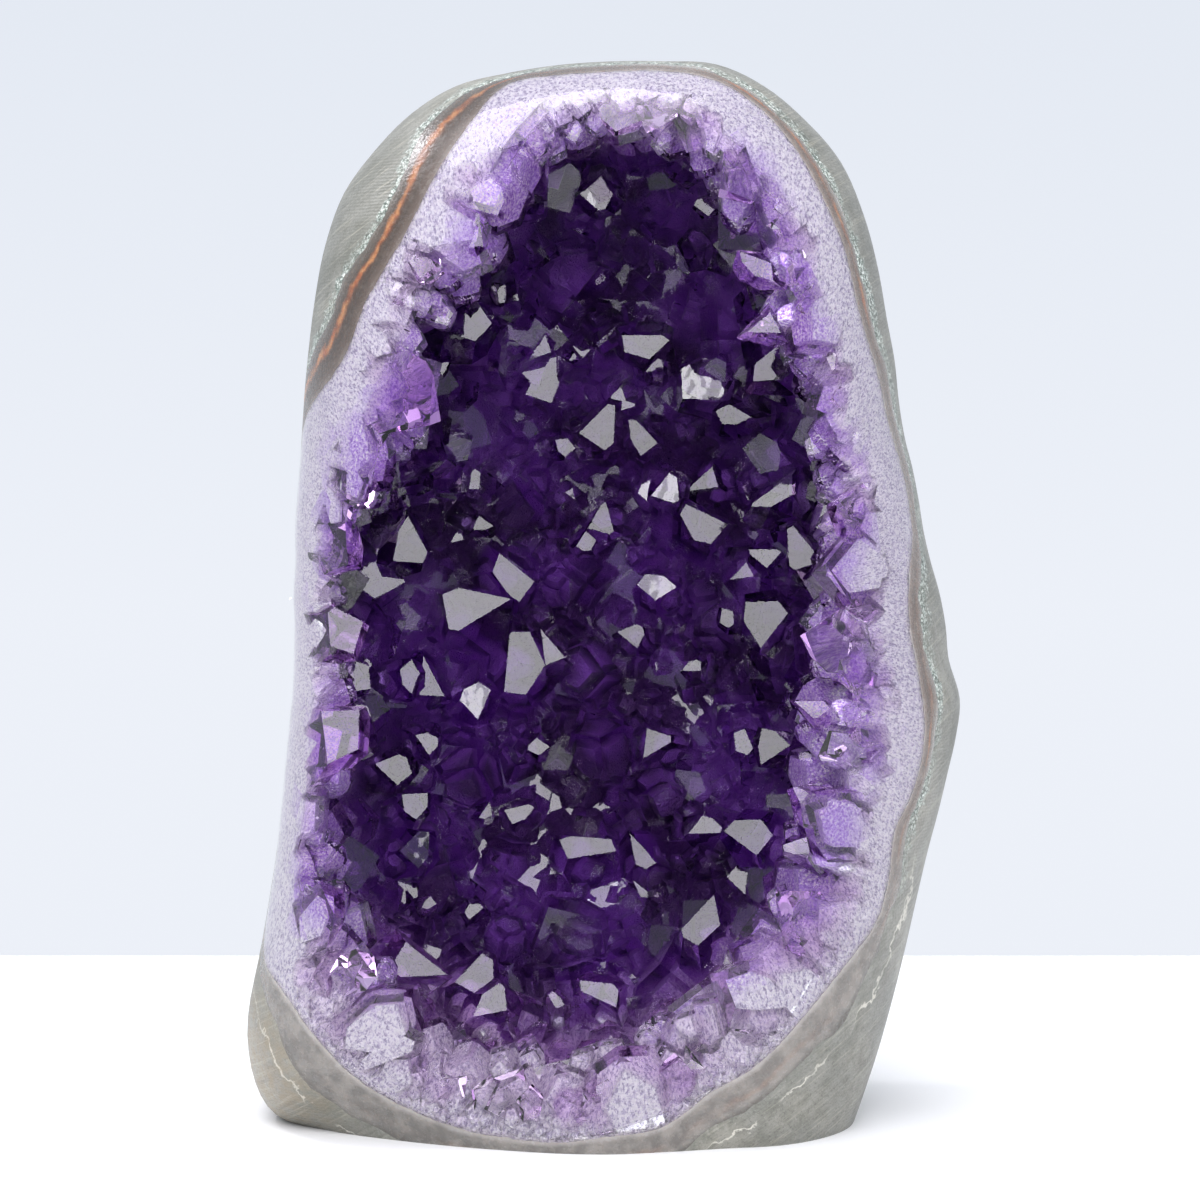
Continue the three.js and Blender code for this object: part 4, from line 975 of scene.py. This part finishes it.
# ---------------------------------------------------------------------------
# Materials
# ---------------------------------------------------------------------------
class Nodes:
    def __init__(self, name):
        self.mat = bpy.data.materials.new(name)
        self.mat.use_nodes = True
        self.tree = self.mat.node_tree
        self.tree.nodes.clear()
        self.out = self.tree.nodes.new("ShaderNodeOutputMaterial")
        self.bsdf = self.tree.nodes.new("ShaderNodeBsdfPrincipled")
        self.link(self.bsdf.outputs[0], self.out.inputs["Surface"])

    def link(self, a, b):
        self.tree.links.new(a, b)

    def node(self, kind, **settings):
        n = self.tree.nodes.new(kind)
        for k, v in settings.items():
            setattr(n, k, v)
        return n

    def set(self, n, **values):
        for k, v in values.items():
            sock = n.inputs[k.replace("_", " ")]
            if hasattr(v, "is_output") or isinstance(v, bpy.types.NodeSocket):
                self.link(v, sock)
            else:
                sock.default_value = v
        return n

    def coords(self, scale=1000.0):
        tc = self.node("ShaderNodeTexCoord")
        m = self.node("ShaderNodeVectorMath", operation="SCALE")
        self.link(tc.outputs["Object"], m.inputs[0])
        m.inputs["Scale"].default_value = scale
        return m.outputs[0]

    def attribute(self, name, out="Fac"):
        n = self.node("ShaderNodeAttribute", attribute_name=name)
        return n.outputs[out]

    def noise(self, vector, scale, detail=3.0, rough=0.55, distortion=0.0):
        n = self.node("ShaderNodeTexNoise")
        self.link(vector, n.inputs["Vector"])
        n.inputs["Scale"].default_value = scale
        n.inputs["Detail"].default_value = detail
        n.inputs["Roughness"].default_value = rough
        n.inputs["Distortion"].default_value = distortion
        return n.outputs["Fac"]

    def voronoi(self, vector, scale, feature="F1", out="Distance", randomness=1.0):
        n = self.node("ShaderNodeTexVoronoi", feature=feature)
        self.link(vector, n.inputs["Vector"])
        n.inputs["Scale"].default_value = scale
        n.inputs["Randomness"].default_value = randomness
        return n.outputs[out]

    def ramp(self, fac, stops, interpolation="LINEAR"):
        n = self.node("ShaderNodeValToRGB")
        n.color_ramp.interpolation = interpolation
        el = n.color_ramp.elements
        while len(el) > 1:
            el.remove(el[-1])
        el[0].position, el[0].color = stops[0][0], self.rgba(stops[0][1])
        for pos, col in stops[1:]:
            e = el.new(pos)
            e.color = self.rgba(col)
        self.link(fac, n.inputs[0])
        return n.outputs[0]

    @staticmethod
    def rgba(c):
        if isinstance(c, (int, float)):
            c = (c, c, c)
        return (c[0], c[1], c[2], 1.0)

    def mix(self, fac, a, b, blend="MIX"):
        n = self.node("ShaderNodeMix", data_type="RGBA", blend_type=blend)
        for sock, v in ((n.inputs[0], fac), (n.inputs[6], a), (n.inputs[7], b)):
            if isinstance(v, bpy.types.NodeSocket):
                self.link(v, sock)
            elif isinstance(v, (tuple, list)):
                sock.default_value = self.rgba(v)
            else:
                sock.default_value = v
        return n.outputs[2]

    def math(self, op, a, b=0.0, c=0.0, clamp=False):
        n = self.node("ShaderNodeMath", operation=op, use_clamp=clamp)
        for sock, v in zip(n.inputs, (a, b, c)):
            if isinstance(v, bpy.types.NodeSocket):
                self.link(v, sock)
            else:
                sock.default_value = v
        return n.outputs[0]

    def remap(self, v, a, b, c=0.0, d=1.0):
        n = self.node("ShaderNodeMapRange")
        self.link(v, n.inputs["Value"])
        n.inputs["From Min"].default_value = a
        n.inputs["From Max"].default_value = b
        n.inputs["To Min"].default_value = c
        n.inputs["To Max"].default_value = d
        return n.outputs[0]

    def bump(self, height, strength, distance, normal=None):
        n = self.node("ShaderNodeBump")
        self.link(height, n.inputs["Height"])
        n.inputs["Strength"].default_value = strength
        n.inputs["Distance"].default_value = distance
        if normal is not None:
            self.link(normal, n.inputs["Normal"])
        return n.outputs[0]


def srgb(r, g, b):
    f = lambda v: (v / 255 / 12.92) if v <= 10 else ((v / 255 + 0.055) / 1.055) ** 2.4
    return (f(r), f(g), f(b))


def basalt_material():
    m = Nodes("basalt")
    p = m.coords()
    away, natural = m.attribute("from_agate"), m.attribute("natural")
    broad = m.noise(p, 0.06, 2, 0.6)
    mid = m.noise(p, 0.32, 3, 0.62)
    fine = m.noise(p, 2.2, 2, 0.7)
    base = m.ramp(broad, [(0.3, srgb(106, 107, 98)), (0.5, srgb(130, 130, 123)), (0.72, srgb(146, 144, 134))])
    base = m.mix(m.remap(mid, 0.42, 0.68, 0, 0.6), base, srgb(96, 96, 86))
    base = m.mix(m.remap(fine, 0.52, 0.75, 0, 0.6), base, srgb(70, 70, 64))
    base = m.mix(m.remap(m.noise(p, 3.4, 3, 0.6), 0.6, 0.78, 0, 0.55), base, srgb(196, 196, 188))
    # natural skin: darker, browner, with dull green
    skin = m.ramp(m.noise(p, 0.11, 3, 0.65, 0.3), [(0.3, srgb(84, 82, 72)), (0.48, srgb(112, 106, 92)), (0.6, srgb(128, 124, 108)),
                                              (0.75, srgb(96, 104, 88))])
    skin = m.mix(m.remap(m.noise(p, 0.9, 2, 0.7), 0.5, 0.72, 0, 0.7), skin, srgb(66, 62, 54))
    skin = m.mix(m.remap(m.noise(p, 0.5, 2, 0.7), 0.6, 0.75, 0, 0.55), skin, srgb(158, 150, 132))
    colour = m.mix(natural, base, skin)
    # green and white crust where the rock meets the agate
    wander = m.math("ADD", away, m.math("MULTIPLY", m.math("SUBTRACT", m.noise(p, 0.45, 4, 0.6), 0.5), 5.0))
    crust = m.math("MULTIPLY", m.remap(wander, 1.9, 0.9), m.remap(m.noise(p, 0.12, 3, 0.6), 0.36, 0.56, 0.35, 1.0))
    place = m.node("ShaderNodeSeparateXYZ")
    m.link(p, place.inputs[0])
    foot = m.remap(place.outputs["Z"], 62, 40)
    crust = m.math("MULTIPLY", crust, m.math("SUBTRACT", 1.0, m.math("MULTIPLY", foot, 0.92)))
    crust = m.math("MULTIPLY", crust, m.remap(place.outputs["Y"], 28, 20))
    crack = m.math("ADD", away, m.math("MULTIPLY", m.math("SUBTRACT", m.noise(p, 0.16, 4, 0.6), 0.5), 7.0))
    crack = m.remap(m.math("ABSOLUTE", m.math("SUBTRACT", crack, 3.4)), 0.26, 0.06)
    crack = m.math("MULTIPLY", m.math("MULTIPLY", crack, foot), m.remap(m.noise(p, 0.09, 2, 0.5), 0.40, 0.52))
    colour = m.mix(m.math("MULTIPLY", crack, 0.85), colour, srgb(214, 210, 198))
    tan = m.math("MULTIPLY", m.remap(place.outputs["X"], -42, -62), m.remap(place.outputs["Z"], 40, 14))
    colour = m.mix(m.math("MULTIPLY", tan, m.remap(mid, 0.35, 0.6, 0.1, 0.6)), colour, srgb(150, 134, 108))
    colour = m.mix(m.remap(place.outputs["Z"], 120, 165, 0, 0.22), colour, srgb(92, 92, 84))
    crackle = m.voronoi(p, 1.1, "DISTANCE_TO_EDGE")
    crust_col = m.ramp(m.noise(p, 1.5, 5, 0.75), [(0.40, srgb(46, 52, 46)), (0.47, srgb(102, 120, 110)), (0.54, srgb(198, 206, 198)), (0.64, srgb(236, 238, 234))])
    crust_col = m.mix(m.remap(crackle, 0.09, 0.0), crust_col, srgb(40, 42, 36))
    colour = m.mix(m.math("MULTIPLY", crust, 0.9, clamp=True), colour, crust_col)
    split = m.node("ShaderNodeSeparateXYZ")
    m.link(p, split.inputs[0])
    along = m.math("ADD", m.math("MULTIPLY", split.outputs["X"], 0.82), m.math("MULTIPLY", split.outputs["Z"], 0.57))
    over = m.math("SUBTRACT", m.math("MULTIPLY", split.outputs["Z"], 0.82), m.math("MULTIPLY", split.outputs["X"], 0.57))
    scratched = m.node("ShaderNodeCombineXYZ")
    m.link(m.math("MULTIPLY", along, 0.10), scratched.inputs[0])
    m.link(m.math("MULTIPLY", over, 2.2), scratched.inputs[1])
    scratch = m.noise(scratched.outputs[0], 1.0, 3, 0.65)
    worked_only = m.math("SUBTRACT", 1.0, natural)
    colour = m.mix(m.math("MULTIPLY", m.remap(scratch, 0.54, 0.70, 0, 0.42), worked_only), colour, srgb(178, 174, 158))
    colour = m.mix(m.math("MULTIPLY", m.remap(scratch, 0.44, 0.32, 0, 0.42), worked_only), colour, srgb(84, 84, 76))
    m.link(colour, m.bsdf.inputs["Base Color"])
    rough = m.math("ADD", m.remap(natural, 0, 1, 0.42, 0.85), m.remap(fine, 0.3, 0.7, -0.06, 0.08))
    m.link(rough, m.bsdf.inputs["Roughness"])
    # sawing and grinding lines on the worked faces
    sep = m.node("ShaderNodeSeparateXYZ")
    m.link(p, sep.inputs[0])
    lines = m.node("ShaderNodeTexWave", wave_type="BANDS", bands_direction="Z")
    m.link(p, lines.inputs["Vector"])
    lines.inputs["Scale"].default_value = 0.5
    lines.inputs["Distortion"].default_value = 3.0
    lines.inputs["Detail"].default_value = 3
    lines.inputs["Detail Scale"].default_value = 0.4
    worked = m.math("SUBTRACT", 1.0, natural)
    h1 = m.math("MULTIPLY", lines.outputs["Fac"], m.math("MULTIPLY", worked, 0.02))
    h = m.math("ADD", h1, m.math("MULTIPLY", fine, m.remap(natural, 0, 1, 0.05, 0.35)))
    h = m.math("ADD", h, m.math("MULTIPLY", m.noise(p, 0.8, 4, 0.7), m.remap(natural, 0, 1, 0.02, 0.9)))
    m.link(m.bump(h, 1.0, 0.001), m.bsdf.inputs["Normal"])
    return m.mat


def agate_material():
    m = Nodes("agate")
    p = m.coords()
    layer = m.attribute("layer")
    wob = m.math("MULTIPLY", m.math("SUBTRACT", m.noise(p, 0.22, 3, 0.5), 0.5), 0.22)
    f = m.math("ADD", layer, wob)
    colour = m.ramp(f, [(0.0, srgb(196, 184, 176)), (0.10, srgb(168, 148, 138)), (0.22, srgb(128, 112, 102)), (0.40, srgb(112, 98, 88)),
                        (0.50, srgb(146, 92, 60)), (0.56, srgb(168, 92, 52)), (0.62, srgb(126, 96, 76)), (0.8, srgb(120, 108, 98)),
                        (0.93, srgb(150, 142, 132)), (1.0, srgb(176, 172, 164))])
    # the rust line is strong at the upper left and fades elsewhere
    plain = m.ramp(f, [(0.0, srgb(182, 174, 168)), (0.15, srgb(134, 122, 114)), (0.45, srgb(112, 102, 94)), (0.7, srgb(126, 115, 106)), (0.92, srgb(146, 140, 132)), (1.0, srgb(170, 168, 160))])
    sep = m.node("ShaderNodeSeparateXYZ")
    m.link(p, sep.inputs[0])
    west = m.remap(sep.outputs["X"], 12, -20)
    left = m.math("MULTIPLY", m.remap(sep.outputs["X"], -5, -30), m.remap(sep.outputs["Z"], 110, 135))
    rust = m.math("MAXIMUM", left, m.remap(m.noise(p, 0.05, 2, 0.5), 0.5, 0.62, 0.1, 0.75))
    line = m.math("ADD", f, m.math("MULTIPLY", m.math("SUBTRACT", m.noise(p, 0.35, 3, 0.6), 0.5), 0.34))
    line = m.math("ABSOLUTE", m.math("SUBTRACT", line, 0.62))
    rust_line = m.math("MULTIPLY", m.remap(line, 0.13, 0.02), m.math("MULTIPLY", rust, m.remap(m.noise(p, 0.2, 2, 0.5), 0.35, 0.55, 0.35, 1.0)))
    colour = m.mix(m.math("MULTIPLY", rust, 0.35), plain, colour)
    fine_bands = m.node("ShaderNodeTexNoise", noise_dimensions="1D")
    m.link(m.math("MULTIPLY", f, 14.0), fine_bands.inputs["W"])
    fine_bands.inputs["Scale"].default_value = 1.0
    fine_bands.inputs["Detail"].default_value = 3
    colour = m.mix(m.remap(fine_bands.outputs["Fac"], 0.4, 0.65, 0, 0.35), colour, srgb(84, 74, 68))
    colour = m.mix(m.remap(m.noise(p, 0.5, 4, 0.65), 0.5, 0.75, 0, 0.45), colour, srgb(160, 150, 140))
    colour = m.mix(1.0, colour, m.mix(west, (0.80, 0.80, 0.82), (0.36, 0.34, 0.33)), "MULTIPLY")
    foot = m.remap(sep.outputs["Z"], 62, 34)
    colour = m.mix(m.math("MULTIPLY", foot, 0.75), colour, m.mix(m.remap(m.noise(p, 0.25, 4, 0.6), 0.4, 0.6), srgb(112, 110, 106), srgb(142, 138, 132)))
    colour = m.mix(m.math("MULTIPLY", m.math("MULTIPLY", m.remap(f, 0.84, 0.97), foot), 0.7), colour, srgb(84, 80, 74))
    colour = m.mix(m.math("MULTIPLY", m.math("MULTIPLY", m.remap(f, 0.18, 0.04), foot), 0.5), colour, srgb(176, 170, 166))
    rust_line = m.math("MULTIPLY", rust_line, m.math("SUBTRACT", 0.85, m.math("MULTIPLY", foot, 0.6)))
    colour = m.mix(rust_line, colour, m.mix(m.remap(m.noise(p, 0.4, 3, 0.6), 0.42, 0.58), srgb(150, 84, 50), srgb(168, 116, 76)))
    m.link(colour, m.bsdf.inputs["Base Color"])
    m.link(m.remap(m.noise(p, 0.9, 3, 0.6), 0.3, 0.7, 0.16, 0.34), m.bsdf.inputs["Roughness"])
    m.bsdf.inputs["IOR"].default_value = 1.54
    m.bsdf.inputs["Subsurface Weight"].default_value = 0.25
    m.bsdf.inputs["Subsurface Radius"].default_value = (1.0, 0.6, 0.4)
    m.bsdf.inputs["Subsurface Scale"].default_value = 0.0012
    m.link(m.bump(m.noise(p, 1.2, 4, 0.6), 0.25, 0.0003), m.bsdf.inputs["Normal"])
    return m.mat


def amethyst_material():
    m = Nodes("amethyst")
    p = m.coords()
    b = m.bsdf
    b.inputs["Base Color"].default_value = (0.985, 0.97, 1.0, 1)
    b.inputs["Roughness"].default_value = 0.03
    b.inputs["IOR"].default_value = 1.544
    b.inputs["Transmission Weight"].default_value = 1.0
    m.link(m.bump(m.noise(p, 0.55, 0, 0.5), 0.05, 0.0004), b.inputs["Normal"])
    vol = m.node("ShaderNodeVolumeAbsorption")
    vol.inputs["Color"].default_value = (0.55, 0.09, 0.72, 1)
    vol.inputs["Density"].default_value = 102.0
    m.link(vol.outputs[0], m.out.inputs["Volume"])
    return m.mat


def comb_material():
    m = Nodes("milky_quartz")
    p = m.coords()
    grain = m.attribute("grain", "Vector")
    inset = m.attribute("inset")
    # painted light: the floor of the hollow, as if lit from above, is painted paler than its back by easing the
    # painted depth shade there
    place = m.node("ShaderNodeSeparateXYZ")
    m.link(p, place.inputs[0])
    depth = m.math("SUBTRACT", m.attribute("depth"), m.remap(place.outputs["Z"], 92.0, 34.0, 0.0, 18.0))
    sugar = m.noise(p, 1.9, 2, 0.75)
    fibre = m.noise(grain, 2.3, 2, 0.72)
    # white sugary quartz with glassy grey gaps between its grains
    white = m.ramp(fibre, [(0.36, srgb(172, 164, 188)), (0.45, srgb(228, 224, 236)), (0.53, srgb(255, 254, 255)), (0.7, srgb(255, 255, 255))])
    white = m.mix(m.remap(m.noise(p, 1.15, 2, 0.7), 0.53, 0.63, 0, 0.5), white, srgb(186, 177, 204))
    # violet where the points have started, each from its own distance
    cell = m.voronoi(p, 0.16, "F1", "Color")
    part = m.node("ShaderNodeSeparateColor")
    m.link(cell, part.inputs[0])
    start = m.math("SUBTRACT", inset, m.remap(place.outputs["Z"], 48.0, 22.0, 0.0, 7.0))
    start = m.math("ADD", start, m.math("MULTIPLY", m.math("SUBTRACT", part.outputs[0], 0.5), 5.0))
    start = m.math("ADD", start, m.math("MULTIPLY", m.math("SUBTRACT", m.noise(p, 0.5, 2, 0.6), 0.5), 5.0))
    violet = m.ramp(sugar, [(0.35, srgb(120, 48, 190)), (0.45, srgb(182, 132, 230)), (0.55, srgb(224, 200, 246)), (0.63, srgb(255, 252, 255))])
    violet = m.mix(m.remap(part.outputs[1], 0.2, 1.0, 0.0, 0.5), violet, srgb(160, 100, 222))
    white = m.mix(m.remap(start, 6.5, 13.5, 0, 0.85), white, violet)
    # a little grey where it starts on the agate
    white = m.mix(m.remap(inset, 1.0, 0.0, 0, 0.5), white, srgb(196, 186, 184))
    # painted shade: deeper in the hollow the quartz is darkened to deep violet, partly its own deeper colour and
    # partly painted shade; in noise patches further in, painted shade takes it nearly black
    white = m.mix(m.remap(depth, 12.0, 31.0), white, srgb(128, 84, 172))
    white = m.mix(m.remap(m.noise(p, 0.06, 2, 0.5), 0.42, 0.56, 0, 0.75), white, m.mix(m.remap(depth, 14.0, 29.0), white, srgb(34, 23, 44)))
    m.link(white, m.bsdf.inputs["Base Color"])
    m.bsdf.inputs["Roughness"].default_value = 0.45
    m.link(m.bump(m.noise(p, 2.2, 1, 0.6), 0.8, 0.0008), m.bsdf.inputs["Normal"])
    return m.mat


def flake_material():
    m = Nodes("healed_cracks_and_glints")
    p = m.coords()
    # painted glints: flat white flakes, partly the real white of healed cracks, partly standing in for light caught by
    # the cracks
    m.link(m.mix(m.remap(m.noise(p, 1.5, 2, 0.5), 0.4, 0.6), srgb(255, 255, 255), srgb(226, 214, 244)), m.bsdf.inputs["Base Color"])
    m.bsdf.inputs["Roughness"].default_value = 0.25
    return m.mat


flakes.data.materials.clear()
flakes.data.materials.append(flake_material())
rind.data.materials.clear()
rind.data.materials.append(basalt_material())
band.data.materials.clear()
band.data.materials.append(agate_material())
crystals.data.materials.clear()
crystals.data.materials.append(amethyst_material())
comb.data.materials.clear()
comb.data.materials.append(comb_material())

for ob, angle in ((rind, 35), (band, 35), (comb, 12)):
    for poly in ob.data.polygons:
        poly.use_smooth = True
    ob.data.set_sharp_from_angle(angle=math.radians(angle))
for poly in crystals.data.polygons:
    poly.use_smooth = True
crystals.data.set_sharp_from_angle(angle=math.radians(6))

finish_piece(rind, "basalt", "basalt_rind")
finish_piece(band, "agate", "agate_band")
finish_piece(crystals, "amethyst", "amethyst_druse")
finish_piece(comb, "amethyst")
finish_piece(flakes, "amethyst")
rind.name, band.name, crystals.name, comb.name = "basalt_rock", "agate_lining", "amethyst_points", "milky_comb"
flakes.name = "healed_cracks_and_glints"

# ---------------------------------------------------------------------------
# Stage: white table, glowing wall of painted light, soft lights
# ---------------------------------------------------------------------------
def plain_material(name, colour, rough, noise=0.0):
    m = Nodes(name)
    m.bsdf.inputs["Base Color"].default_value = (*colour, 1)
    m.bsdf.inputs["Roughness"].default_value = rough
    m.bsdf.inputs["Specular IOR Level"].default_value = 0.2
    return m.mat


def slab(name, lo, hi, mat):
    bm = bmesh.new()
    bmesh.ops.create_cube(bm, size=1)
    for v in bm.verts:
        v.co = Vector([lo[k] + (v.co[k] + 0.5) * (hi[k] - lo[k]) for k in range(3)])
    me = bpy.data.meshes.new(name)
    bm.to_mesh(me)
    bm.free()
    ob = new_object(name, me)
    me.materials.append(mat)
    return ob


floor = slab("floor", (-1.6, -1.2, -0.02), (1.6, 0.215, 0.0), plain_material("table_white", (0.93, 0.93, 0.93), 0.5))


def wall_material():
    m = Nodes("wall_glowing")
    p = m.coords(1.0)
    sep = m.node("ShaderNodeSeparateXYZ")
    m.link(p, sep.inputs[0])
    # painted light: the wall glows instead of being lit, a little dimmer and bluer upward from the table
    up = m.remap(sep.outputs["Z"], 0.05, 0.42)
    colour = m.mix(up, srgb(237, 241, 249), srgb(226, 232, 242))
    m.bsdf.inputs["Base Color"].default_value = (0.02, 0.02, 0.02, 1)
    m.bsdf.inputs["Specular IOR Level"].default_value = 0.0
    m.link(colour, m.bsdf.inputs["Emission Color"])
    m.bsdf.inputs["Emission Strength"].default_value = 0.97
    return m.mat


wall = slab("wall", (-2.5, 1.1, -0.8), (2.5, 1.12, 2.2), wall_material())

world = bpy.data.worlds.new("world")
scene.world = world
world.use_nodes = True
bg = world.node_tree.nodes["Background"]
bg.inputs[0].default_value = (0.86, 0.92, 1.0, 1)
bg.inputs[1].default_value = 0.74


def softbox(name, target, azimuth, elevation, dist, size, radiance, colour=(0.985, 0.965, 1)):
    light = bpy.data.lights.new(name, "AREA")
    light.shape = "RECTANGLE"
    light.size, light.size_y = size
    light.energy = radiance * math.pi * size[0] * size[1]
    light.color = colour
    ob = bpy.data.objects.new(name, light)
    az, el = math.radians(azimuth), math.radians(elevation)
    d = Vector((math.sin(az) * math.cos(el), -math.cos(az) * math.cos(el), math.sin(el)))
    ob.location = Vector(target) + d * dist
    ob.rotation_euler = d.to_track_quat("Z", "Y").to_euler()
    scene.collection.objects.link(ob)
    return ob


softbox("key_left", (0, 0, 0.1), -25, 34, 1.2, (0.44, 0.66), 5.4)
softbox("key_mid", (0, 0, 0.1), -3, 34, 1.2, (0.38, 0.66), 6.6)
softbox("key_right", (0, 0, 0.1), 19, 34, 1.2, (0.44, 0.66), 5.8)
softbox("top", (0, 0, 0.1), -60, 80, 1.1, (0.8, 0.8), 3.4)
softbox("shoulder", (-0.03, -0.03, 0.18), -120, 45, 1.0, (0.12, 0.12), 44.0)

scene.view_settings.view_transform = "Standard"
scene.view_settings.look = "None"
scene.cycles.max_bounces = 9
scene.cycles.diffuse_bounces = 2
scene.cycles.glossy_bounces = 3
scene.cycles.transmission_bounces = 9
scene.cycles.transparent_max_bounces = 8
